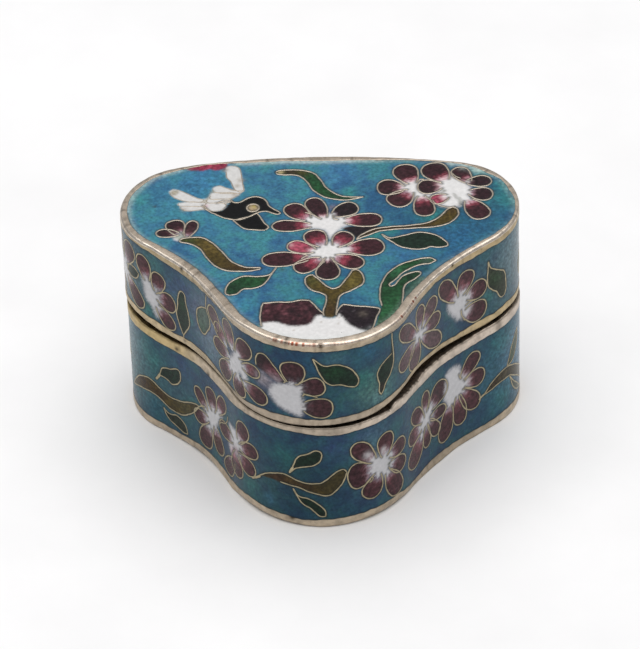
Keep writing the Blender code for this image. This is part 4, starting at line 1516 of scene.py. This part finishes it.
# %% Leaves at the front and right of the lid
leaf(lid_wall, [
    (0.2, 12.4), (1.2, 11.8), (3.0, 11.8), (4.4, 11.1), (5.5, 9.9), (6.2, 8.4), (6.1, 7.2),
    (5.6, 6.8)], [
    (-0.7, 13.3), (-0.3, 12.0), (0.3, 10.3), (1.0, 8.8), (2.0, 8.0), (3.3, 7.8), (4.4, 7.3)],
    DARK_GREEN, [(2.5, 10.5, 1.5, GREEN, 0.5)])
leaf(lid_wall, [
    (12.7, 13.9), (12.7, 12.0), (12.9, 10.4), (12.9, 8.8), (12.7, 7.5), (12.1, 6.3), (11.2, 5.2),
    (10.6, 3.9), (10.1, 3.3)], [
    (12.5, 10.0), (11.4, 9.6), (10.3, 9.0), (9.6, 7.8), (9.6, 6.6), (9.9, 5.4), (9.8, 4.1),
    (10.1, 3.3)],
    DARK_GREEN, [(10.4, 4.6, 0.9, BROWN, 0.6)], loose=True)
leaf(lid_wall, [
    (37.4, 10.7), (38.2, 9.9), (39.3, 9.2), (40.2, 8.5), (40.7, 7.1), (40.8, 5.0), (40.6, 3.9),
    (40.2, 3.5)], [
    (37.0, 12.0), (36.9, 10.5), (36.8, 8.5), (36.9, 7.2), (37.8, 6.0), (38.6, 5.2), (39.1, 4.2),
    (39.6, 3.6)],
    colour(50, 56, 44), [(38.6, 8, 1.6, GREEN, 0.4)])

# %% Two blossoms right of the front
flower(lid_wall, [
    (18.9, 8.8), (20.0, 9.2), (21.4, 8.4), (22.2, 7.4), (21.3, 6.6), (20.2, 7.0), (19.0, 7.4)], [
    (19.1, 4.6, 4.8, 3.4, 255, 0.2, PLUM_UNDER_SHEEN), (16.4, 6.2, 4.6, 3.2, 200, 0.2, PLUM_UNDER_SHEEN),
    (17.0, 10.8, 6.2, 2.9, 138, 0.45), (20.9, 11.4, 4.0, 2.4, 88, 0.2, PLUM_UNDER_SHEEN),
    (23.7, 10.8, 4.2, 3.0, 48, 0.1, PLUM_UNDER_SHEEN), (24.4, 7.8, 3.8, 2.9, 0, 0.1, PLUM_UNDER_SHEEN),
    (24.0, 4.6, 6.0, 2.9, -40, 0.1, PLUM_UNDER_SHEEN)])
flower(lid_wall, [
    (28.2, 8.6), (28.3, 7.2), (29.0, 6.0), (29.8, 5.0), (30.3, 4.2), (30.9, 4.2), (31.6, 3.7),
    (32.6, 3.7), (33.6, 4.6), (33.4, 6.2), (33.4, 7.6), (32.6, 9.4), (31.4, 9.4), (30.2, 9.8),
    (28.9, 9.6)], [
    (28.2, 11.2, 6.0, 3.0, 124, 0.6), (32.2, 10.9, 3.8, 3.4, 66, 0.6),
    (34.8, 7.7, 3.6, 3.4, 6, 0.2), (34.4, 3.6, 4.3, 3.8, -22, 0.1)])
glow(lid_wall, 32.7, 4.9, 0.8, SHADED_WALL_TONES["white"], 0.8)
wire(lid_wall, smooth([(31.2, 5.6), (31.4, 4.4), (31.9, 3.2)]), 0.26)
wire(lid_wall, smooth([(32.2, 6.0), (33.2, 6.2), (34.2, 5.9)]), 0.24)

# %% [markdown]
# ## The walls of the base
#
# The same hand, the same motifs: leafy stems sweep along the front and round the lobes, with
# blossoms in twos and threes in the hollows.

# %% Ground clouds, painted reflection and painted shade, and leaves on the base
# The pale clouds on the lobes are painted reflection of the bright floor, and the dark one in the
# middle of the front is painted shade; the rest are the glass's own clouds.
for x, y, size, tone, share in (
        (-44, 10, 9, colour(58, 98, 104), 0.5), (44, 10, 9, colour(58, 100, 116), 0.6),
        (-3, 8, 8, colour(22, 44, 58), 0.6), (31, 9, 6, colour(34, 62, 84), 0.4),
        (43, 9, 7, colour(70, 104, 134), 0.4), (10, 8, 4, colour(76, 98, 124), 0.5),
        (-13, 8, 5, colour(64, 92, 98), 0.5), (-33, 8, 7, colour(60, 96, 98), 0.4),
        (-43, 9, 6, colour(80, 116, 116), 0.35), (-31, 15.5, 2.5, INDIGO, 0.35),
        (-38, 14, 2.5, JADE, 0.25), (-29.5, 8.5, 1.6, JADE, 0.3),
        (-21, 17, 2.5, INDIGO, 0.25), (2.5, 15.5, 2.2, INDIGO, 0.35), (7, 17, 2, INDIGO, 0.25),
        (-8.5, 4, 0.9, colour(70, 120, 150), 0.4), (-12.5, 4.5, 1.8, JADE, 0.3),
        (-6, 14, 2.5, JADE, 0.2), (13.5, 15.5, 1.8, JADE, 0.3), (40, 16, 3, JADE, 0.3),
        (-44, 15.5, 4, colour(124, 152, 164), 0.3), (44, 14, 4, colour(118, 146, 168), 0.3),
        (9, 15, 3.5, colour(96, 126, 142), 0.35),
        (40, 5, 2.5, JADE, 0.25), (-38, 4, 2.5, colour(40, 92, 108), 0.4)):
    glow(base_wall, x, y, size, tone, share)
leaf(base_wall, [
    (-43.6, 6.2), (-42.5, 7.6), (-41.0, 8.8), (-39.4, 9.4), (-38.0, 9.2), (-36.8, 8.5),
    (-35.5, 8.0), (-34.0, 7.9), (-32.5, 8.2), (-31.0, 8.8), (-29.6, 9.5), (-28.6, 9.9),
    (-27.6, 10.0)], [
    (-44.4, 5.0), (-42.5, 5.8), (-41.0, 6.4), (-39.0, 6.8), (-37.5, 6.7), (-36.3, 6.1),
    (-34.8, 5.5), (-33.0, 5.4), (-31.5, 5.9), (-30.0, 7.0), (-28.8, 8.3)],
    OLIVE, [(-40.5, 7.8, 2, BROWN, 0.8), (-37, 7.2, 1.4, BROWN, 0.6),
    (-31, 7.3, 2, colour(66, 66, 40), 0.5)])
wire(base_wall, smooth([(-28.8, 8.2), (-27.9, 9.6), (-26.9, 10.5), (-26.0, 11.0)]), 0.34)
cell(base_wall, [
    [(-36.1, 12.8), (-35.2, 13.4), (-34.0, 13.8), (-32.9, 14.4), (-32.1, 14.4), (-31.9, 13.5),
    (-32.1, 12.5), (-32.8, 11.4), (-34.0, 10.8), (-35.0, 11.2), (-36.7, 11.3)]],
    DARK_GREEN)
wire(base_wall, smooth([(-37.5, 10.1), (-37.0, 10.7), (-36.5, 11.5)]), 0.6)
leaf(base_wall, [
    (-35.2, 4.3), (-34.3, 4.4), (-33.3, 4.8), (-32.1, 4.4), (-31.2, 3.5), (-30.9, 2.3)], [
    (-36.2, 4.9), (-35.7, 3.8), (-34.6, 2.9), (-33.0, 2.4), (-31.8, 2.1)],
    colour(38, 44, 34))
leaf(base_wall, [
    (-4.1, 12.2), (-3.6, 13.4), (-2.9, 14.2), (-1.7, 14.7), (-0.7, 15.3), (0.1, 15.2),
    (0.4, 14.6)], [
    (-4.6, 10.6), (-3.7, 11.6), (-2.5, 12.0), (-1.2, 12.3), (-0.2, 13.0), (0.3, 13.8)],
    DARK_GREEN)
wire(base_wall, smooth([(-4.8, 10.4), (-4.5, 11.0), (-4.2, 11.7)]), 0.5)
cell(base_wall, [
    [(-10.8, 7.2), (-9.8, 8.2), (-8.6, 9.0), (-7.3, 9.6), (-6.0, 9.9), (-4.8, 9.7), (-3.5, 9.1),
    (-2.3, 8.8), (-1.0, 8.8), (0.1, 8.9), (1.0, 9.6), (2.0, 10.5), (3.0, 11.2), (3.7, 11.3),
    (4.2, 10.7)],
    [(3.9, 9.6), (3.3, 8.4), (2.4, 7.2), (1.5, 6.5), (0.5, 6.4), (-0.8, 6.8), (-2.2, 7.3),
    (-3.5, 7.8), (-5.0, 8.0), (-6.4, 8.1)],
    [(-8.2, 8.2), (-10.0, 7.8), (-11.8, 6.4)]],
    OLIVE, [(-7, 8.8, 2.6, BROWN, 0.9), (-2.4, 8.1, 2, BROWN, 0.7),
    (2, 9, 3.5, colour(44, 42, 30), 0.65)], bare=(2,))
wire(base_wall, smooth([(-11.9, 6.3), (-11.0, 7.0), (-10.1, 7.7)]), 0.5)
leaf(base_wall, [
    (-3.5, 6.1), (-2.0, 5.7), (-0.8, 5.0), (0.2, 4.0), (0.7, 3.0), (0.7, 2.2)], [
    (-4.3, 7.4), (-3.6, 5.8), (-2.8, 4.6), (-1.7, 3.8), (-0.9, 3.0), (-0.1, 2.2)],
    DARK_GREEN)

# %% Two blossoms left of the front, on the base
flower(base_wall, [
    (-26.6, 9.6), (-25.6, 10.2), (-26.0, 11.8), (-25.4, 12.6), (-24.6, 11.6), (-24.0, 12.4),
    (-22.8, 12.9), (-21.4, 13.6), (-20.8, 12.6), (-21.8, 11.0), (-22.6, 9.4), (-23.4, 8.0),
    (-23.2, 6.0), (-24.4, 6.0), (-24.6, 7.8), (-25.4, 8.6), (-26.6, 8.2)], [
    (-27.1, 12.3, 3.6, 2.3, 128, 0.1), (-24.0, 14.0, 3.8, 2.9, 98, 0.2),
    (-27.3, 8.2, 3.3, 2.6, 200, 0.1), (-26.0, 4.9, 4.6, 3.3, 250, 0.1),
    (-20.9, 14.6, 4.0, 2.6, 62, 0.5), (-22.4, 6.0, 4.4, 2.8, 285, 0.2, BROWN)])
flower(base_wall, [
    (-18.8, 8.6), (-18.0, 7.2), (-17.2, 8.8), (-15.8, 9.2), (-14.8, 10.0), (-13.9, 11.0),
    (-13.8, 12.0), (-14.6, 12.8), (-15.8, 13.2), (-17.2, 12.8), (-18.4, 12.8), (-17.8, 11.2),
    (-18.2, 10.0)], [
    (-18.9, 3.9, 4.2, 3.0, 235, 0.1), (-16.2, 6.0, 4.4, 3.6, 268, 0.35),
    (-19.8, 10.3, 4.0, 3.0, 178, 0.2), (-14.1, 14.1, 4.2, 3.1, 68, 0.3),
    (-12.5, 11.4, 4.2, 2.8, 18, 0.5), (-13.1, 8.0, 4.0, 3.2, -14, 0.5)])
glow(base_wall, -16.0, 9.0, 0.9, CRIMSON, 0.5)
glow(base_wall, -17.4, 7.8, 0.9, PINK, 0.6)
wire(base_wall, smooth([(-22.0, 10.3), (-21.0, 11.1), (-20.0, 11.6), (-19.2, 12.6),
                        (-18.8, 13.8)]), 0.24)

# %% Three blossoms right of the front, on the base
flower(base_wall, [
    (8.4, 9.6), (8.7, 8.8), (9.6, 8.3), (10.4, 7.0), (11.0, 6.2), (11.5, 6.8), (11.5, 8.2),
    (12.4, 9.2), (12.8, 10.4), (11.5, 10.7), (11.0, 11.6), (11.4, 12.8), (10.3, 13.2), (9.7, 11.6),
    (8.9, 12.8), (8.0, 13.7), (6.9, 12.9), (6.9, 11.9), (8.0, 11.0)], [
    (6.9, 13.7, 5.0, 3.0, 128, 0.1), (11.1, 13.7, 4.0, 3.1, 84, 0.2),
    (6.2, 9.4, 3.8, 4.8, 184, 0.1, DARK_PLUM, 50), (14.0, 11.2, 3.5, 3.0, 10, 0.1),
    (14.0, 7.8, 3.7, 3.0, -30, 0.15), (8.5, 6.0, 4.0, 3.5, 248, 0.15),
    (12.8, 4.7, 5.6, 3.4, -66, 0.3)])
wire(base_wall, smooth([(7.0, 7.0), (7.6, 7.6), (8.3, 8.2), (8.5, 7.8), (7.9, 7.3)]), 0.26)
for x, y, size in ((7.7, 12.9, 0.7), (10.6, 12.7, 0.5)):
    glow(base_wall, x, y, size, colour(196, 192, 194), 0.85)
glow(base_wall, 11.7, 9.2, 0.35, colour(60, 70, 50), 0.9)
flower(base_wall, [
    (20.2, 9.8), (21.0, 9.0), (22.0, 9.2), (22.9, 9.4), (23.4, 10.6), (24.2, 11.6), (23.8, 12.6),
    (22.8, 12.0), (22.3, 13.0), (21.5, 12.2), (20.4, 13.2), (20.0, 12.4), (20.7, 11.0)], [
    (25.7, 13.7, 4.5, 3.9, 40, 0.1, DARK_PLUM), (19.7, 13.0, 4.2, 2.8, 132, 0.1),
    (22.2, 14.5, 3.6, 2.0, 88, 0.1), (18.6, 9.9, 3.4, 3.1, 182, 0.5),
    (19.1, 5.9, 5.2, 3.9, 232, 0.6), (22.5, 6.8, 3.8, 2.0, 272, 0.3),
    (24.5, 7.5, 4.2, 2.3, -58, 0.1), (25.8, 9.8, 3.4, 2.3, -4, 0.1, DARK_PLUM)])
flower(base_wall, [
    (27.5, 14.8), (27.7, 16.0), (28.8, 16.4), (30.0, 16.3), (30.8, 15.6), (31.2, 14.4),
    (32.0, 14.0), (32.6, 12.8), (33.4, 12.2), (33.4, 11.2), (32.2, 10.8), (31.2, 10.4),
    (30.4, 9.4), (29.2, 9.2), (28.2, 9.4), (27.3, 10.8), (27.1, 12.6)], [
    (27.5, 6.0, 6.2, 3.3, 256, 0.2), (33.2, 15.0, 4.5, 2.9, 47, 0.1),
    (34.3, 11.6, 3.6, 3.3, -2, 0.25), (30.7, 6.9, 5.6, 2.9, -84, 0.6),
    (33.0, 8.0, 5.4, 3.1, -52, 0.5)])
wire(base_wall, smooth([(30.6, 14.4), (30.8, 13.6), (31.2, 13.2)]), 0.22)

# %% Leaves on the right lobe of the base
leaf(base_wall, [
    (37.0, 8.4), (38.0, 9.2), (39.2, 9.9), (40.5, 10.1), (41.8, 9.9), (43.3, 9.1), (45.0, 7.9),
    (47.0, 6.2), (49.5, 4.0), (52.6, 1.9)], [
    (36.0, 7.2), (37.3, 7.5), (38.5, 7.9), (40.0, 8.1), (41.5, 8.0), (42.6, 7.4), (44.5, 6.0),
    (47.0, 4.0), (49.6, 2.2)],
    colour(66, 60, 44), [(38, 8.2, 1.5, BROWN, 0.5)])
wire(base_wall, smooth([(34.9, 6.8), (35.5, 7.1), (36.2, 7.3)]), 0.5)
leaf(base_wall, [
    (41.6, 11.6), (42.3, 13.2), (43.4, 14.6), (44.6, 15.6)], [
    (41.0, 10.1), (42.8, 10.6), (44.0, 12.2), (44.6, 13.8)],
    colour(58, 74, 56))
leaf(base_wall, [
    (42.7, 6.4), (44.0, 5.0), (45.6, 3.4), (46.6, 2.4)], [
    (41.8, 7.8), (42.6, 5.6), (43.6, 4.0), (45.0, 3.0)],
    colour(58, 70, 52))

# %% [markdown]
# ## The back
#
# The back of such a box carries the same pattern with less care: evenly turned blossoms and a
# leaf or two on long stems. One small function draws a whole blossom from a place, a size and a
# turn, so the plain sides stay quick to fill.

# %% Plain blossoms and sprigs behind
def blossom(where, x, y, size, turn, petals=6):
    """Egg petals round a white heart: each points outwards, a share of a full turn apart."""
    angle = np.arange(12) * TAU / 12
    ring = 0.34 * size * (1 + 0.25 * np.cos(petals * angle))
    heart(where, np.array([x, y]) + ring[:, None] * ray(angle))
    for k in range(petals):
        degrees = turn + 360 * k / petals
        out = 0.62 * size * ray(np.radians(degrees))
        petal(where, x + out[0], y + out[1], 0.72 * size, 0.6 * size, degrees, 0.2 + 0.2 * (k % 2))


def sprig(where, x, y, long, degrees, glass):
    """A leaf whose two wires bow away from a slightly bent spine and meet at its ends."""
    ahead = ray(np.radians(degrees))
    aside = np.array([-ahead[1], ahead[0]])
    share = np.linspace(0, 1, 7)[:, None]
    spine = [x, y] + (share - 0.5) * long * ahead + 0.16 * long * np.sin(np.pi * share) * aside
    bow = 0.17 * long * np.sin(np.pi * share ** 0.8) * aside
    leaf(where, spine + bow, spine - bow, glass, loose=True)


for x, y, size, turn in ((60.5, 8.6, 5.2, 20), (74.0, 7.6, 5.4, 75), (-62.0, 8.2, 5.4, 50),
                         (-78.5, 8.4, 5.2, 10)):
    blossom(lid_wall, x, y, size, turn)
for x, y, long, degrees, glass in (
        (47.5, 6.0, 5.5, 62, GREEN), (53.5, 10.5, 6.0, 205, OLIVE), (67.4, 11.2, 5.0, 38, GREEN),
        (67.0, 5.0, 6.0, 205, OLIVE), (81.5, 9.5, 6.5, 112, DARK_GREEN),
        (-70.4, 10.0, 6.0, 140, GREEN), (-70.0, 5.0, 5.5, 20, OLIVE),
        (-55.6, 5.4, 5.0, 100, DARK_GREEN)):
    sprig(lid_wall, x, y, long, degrees, glass)
for x, y, size, turn in ((62.5, 12.0, 5.4, 40), (76.0, 8.2, 5.8, 0), (-52.5, 12.4, 4.6, 10),
                         (-65.5, 8.0, 5.8, 65), (-80.5, 12.0, 5.4, 25)):
    blossom(base_wall, x, y, size, turn)
for x, y, long, degrees, glass in (
        (54.6, 9.4, 7.5, 75, OLIVE), (68.6, 6.0, 7.0, 12, GREEN), (69.5, 14.2, 5.5, 150, GREEN),
        (84.0, 7.0, 8.0, 60, OLIVE), (-47.0, 12.0, 5.0, 120, GREEN),
        (-56.0, 5.2, 7.5, 160, OLIVE), (-72.8, 12.4, 6.5, 200, GREEN),
        (-74.8, 5.6, 7.0, 340, DARK_GREEN)):
    sprig(base_wall, x, y, long, degrees, glass)

# %% [markdown]
# ## From the drawing to the skins
#
# Now the drawing is finished, the darker seam beside every wire is worked out, and the three
# skins of glass are made with the picture as their attribute. A skin is closed: its back and
# its edges, hidden under metal, get the same shape of table with nothing painted.

# %% Seams beside the wires
SEAM, FINEST = 0.7, 0.16


def darken_seams(where, reach=0.46):
    """A share that is highest at metal and gone at reach millimetres from a wire's middle.

    The finest wires, round white glass, have no dark seam.
    """
    where["seam"] = 0.8 * ease(where["rim"], 0.4, 0.0) * (where["fill"][:, 3] < 0.5)
    for line, width, closed in where["wires"]:
        if width < FINEST:
            continue
        start, end = (line, np.roll(line, -1, 0)) if closed else (line[:-1], line[1:])
        chosen, points = near_line(where, line, reach)
        far = to_sides(points, start, end)
        where["seam"][chosen] = np.maximum(where["seam"][chosen], ease(far, reach, width / 2))


for where in (lid_top, lid_wall, base_wall):
    darken_seams(where)


def picture(where, before, after):
    """The field's attributes, with unpainted rows before and after those it has."""
    fill = np.concatenate([np.zeros((before, 4)), where["fill"], np.zeros((after, 4))])
    seam = np.concatenate([np.zeros(before), SEAM * where["seam"], np.zeros(after)])
    return {"fill": fill, "seam": seam}


print("share of the top that is painted:", round(float(lid_top["fill"][:, 3].mean()), 2))

# %% The three skins
back_inset = SKIN_INSET + SKIN_THICK


def wall_skin(name, rows, where, seat):
    """A band of glass: its painted face, its upper edge, its back and its lower edge."""
    inset = np.concatenate([np.full((len(rows), 1), SKIN_INSET), column([back_inset] * 2)])
    table = swept(inset, np.concatenate([rows, rows[[-1, 0]]]))
    return closed_ring(name, table, seat, material=shaded_wall_glass, slot="turquoise_enamel",
                       values=picture(where, 0, 2 * COLUMNS))


wall_skin("base_wall_enamel", base_rows, base_wall, level)
wall_skin("lid_wall_enamel", lid_rows, lid_wall, on_seat)
under = swept(STRIP_WIDE - TUCK, LID_H - back_inset, column([0.85, 0.5, 0.0]))
marks = picture(lid_top, len(under) * COLUMNS, 0)
# The two points on which the plate closes come last: one below, one in the picture's middle.
marks["fill"] = np.concatenate([marks["fill"], np.zeros((1, 4)), lid_top["fill"][-1:]])
marks["seam"] = np.concatenate([marks["seam"], [0.0, 0.0]])
closed_shell("lid_top_enamel", np.concatenate([under, top_table]), on_seat,
             material=top_glass, slot="turquoise_enamel", values=marks)

# %% [markdown]
# ## Wires
#
# Cloisonne wire is a flat ribbon stood on edge, soldered down, then ground level with the glass,
# so only its pale top shows, hardly a hair above the surface. Its section is carried along each
# remembered line. It wavers a little and its width varies, as bent by hand with tweezers.

# %% Sweeping the wires
WIRE_TOP = 0.032          # height of the wire's top above the glass
SECTION = np.array([(-0.5, -0.1), (0.5, -0.1), (0.5, 0.006), (0.36, 0.026), (0.0, WIRE_TOP),
                    (-0.36, 0.026), (-0.5, 0.006)])


def wire_points(line, width, closed):
    """The section at every point of a line: aside by the width's share, up by the height."""
    count = len(line)
    if closed:
        ahead = np.roll(line, -1, 0) - np.roll(line, 1, 0)
    else:
        ahead = np.gradient(line, axis=0)
    ahead = ahead / np.maximum(np.linalg.norm(ahead, axis=1, keepdims=True), 1e-9)
    aside = np.stack([-ahead[:, 1], ahead[:, 0]], -1)
    beat = np.arange(count) * STEP
    phase = CHANCE.uniform(0, TAU, 4)
    waver = (0.03 * np.sin(TAU * beat / 3.1 + phase[0])
             + 0.012 * np.sin(TAU * beat / 1.3 + phase[1]))
    swell = (1 + 0.08 * np.sin(TAU * beat / 2.3 + phase[2])
             + 0.05 * np.sin(TAU * beat / 1.1 + phase[3]))
    if closed:
        waver = waver * 0
    else:
        tip = np.minimum(np.arange(count), np.arange(count)[::-1])
        swell = swell * np.where(tip == 0, 0.6, 1.0)
    line = line + waver[:, None] * aside
    across = (width * swell)[:, None, None] * SECTION[None, :, :1] * aside[:, None]
    flat = line[:, None] + across
    up = np.broadcast_to(SECTION[None, :, 1:], (count, len(SECTION), 1))
    return np.concatenate([flat, up], -1)


def wire_faces(count, first, closed):
    """Quads between neighbouring sections, and a cap at each open end."""
    sides = len(SECTION)
    faces = (quads(count, sides, closed) + first).tolist()
    if not closed:
        faces.append([first + k for k in reversed(range(sides))])
        faces.append([first + (count - 1) * sides + k for k in range(sides)])
    return faces


def all_wires(name, where, place, material):
    """Every remembered line of a field as one piece; place puts a field's points on the box."""
    points, faces, first = [], [], 0
    for line, width, closed in where["wires"]:
        part = wire_points(line, width, closed)
        faces += wire_faces(len(part), first, closed)
        points.append(part.reshape(-1, 3))
        first += part.shape[0] * part.shape[1]
    return finish_piece(name, place(np.concatenate(points)), faces, material, "gilt_brass")


def wall_place(points):
    """Distance round, height and height above the glass, to a place on a level wall."""
    foot, outward = plan(points[:, 0])
    flat = foot + (points[:, 2:] - SKIN_INSET) * outward
    return np.concatenate([flat, points[:, 1:2]], -1)


def lid_wall_place(points):
    """The same on the seated lid."""
    return on_seat(wall_place(points))


def lid_top_place(points):
    """x, y and height above the glass, to a place on the seated lid's top."""
    return on_seat(points + [0.0, 0.0, LID_H - SKIN_INSET])


all_wires("lid_top_wires", lid_top, lid_top_place, top_wire)
all_wires("lid_wall_wires", lid_wall, lid_wall_place, shaded_wall_wire)
all_wires("base_wall_wires", base_wall, wall_place, shaded_wall_wire)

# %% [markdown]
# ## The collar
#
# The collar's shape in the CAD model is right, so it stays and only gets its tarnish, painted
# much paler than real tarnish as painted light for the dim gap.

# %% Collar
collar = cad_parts["base_collar"]
collar.data.materials.clear()
collar.data.materials.append(tarnish_with_painted_light())
print("collar from", [round(v, 1) for v in cad_heights("base_collar")], "mm")

# %% [markdown]
# ## Floor, light and camera
#
# Such a box is set on a white sweep under one wide, soft light from above. The white floor
# lights the walls from below. The rest of the room is dim, which keeps the dark glasses dark,
# and the light's own reflection draws the bright line on the lid's edge.

# %% Floor
def floor_sheet():
    """A wide square, very slightly mottled like painted board."""
    material, tree, shader = surface("white_board", gloss=0.3)
    base = ramp(tree, noise(tree, 40, 0.2, detail=6.0), (0.35, colour(238, 237, 237)),
                (0.65, colour(244, 243, 243)))
    coat(tree, shader, base, 0.6)
    mesh = bpy.data.meshes.new("floor")
    far = 2.5             # metres from the middle to each edge
    mesh.from_pydata([(-far, -far, 0), (far, -far, 0), (far, far, 0), (-far, far, 0)], [],
                     [(0, 1, 2, 3)])
    mesh.materials.append(material)
    sheet = bpy.data.objects.new("floor", mesh)
    bpy.context.scene.collection.objects.link(sheet)
    return sheet


floor_sheet()
print("floor laid")

# %% Light
def soft_light(name, place, aim, size, power):
    """A round area light that points at a place, in metres."""
    lamp = bpy.data.lights.new(name, "AREA")
    lamp.shape = "DISK"
    lamp.size = size
    lamp.energy = power
    item = bpy.data.objects.new(name, lamp)
    item.location = place
    item.rotation_euler = (Vector(aim) - Vector(place)).to_track_quat("-Z", "Y").to_euler()
    bpy.context.scene.collection.objects.link(item)


soft_light("overhead", (0.0, 0.0, 0.8), (0, 0, 0), 1.1, 6.6)
world = bpy.data.worlds.new("room")
bpy.context.scene.world = world
world.use_nodes = True
world.node_tree.nodes["Background"].inputs["Color"].default_value = (0.98, 0.99, 1.0, 1.0)
world.node_tree.nodes["Background"].inputs["Strength"].default_value = 0.45
bpy.context.scene.view_settings.view_transform = "Standard"
print("lit")

# %% Camera
AZIMUTH, ELEVATION, ROLL = np.radians([2.43, 38.06, -1.85])
AIM = Vector((-0.873, 15.418, 9.953))
DISTANCE = 693.6
back = Vector((np.cos(ELEVATION) * np.sin(AZIMUTH), -np.cos(ELEVATION) * np.cos(AZIMUTH),
               np.sin(ELEVATION)))
flat_right = Vector((np.cos(AZIMUTH), np.sin(AZIMUTH), 0.0))
flat_up = back.cross(flat_right)
right = np.cos(ROLL) * flat_right + np.sin(ROLL) * flat_up
up = back.cross(right)
lens = bpy.data.cameras.new("camera")
lens.lens = 240.45
lens.clip_start = 0.01
camera = bpy.data.objects.new("camera", lens)
turn = Matrix((right, up, back)).transposed().to_4x4()
camera.matrix_world = Matrix.Translation((AIM + DISTANCE * back) * MM) @ turn
bpy.context.scene.collection.objects.link(camera)
bpy.context.scene.camera = camera
print("camera", [round(v, 4) for v in camera.location])
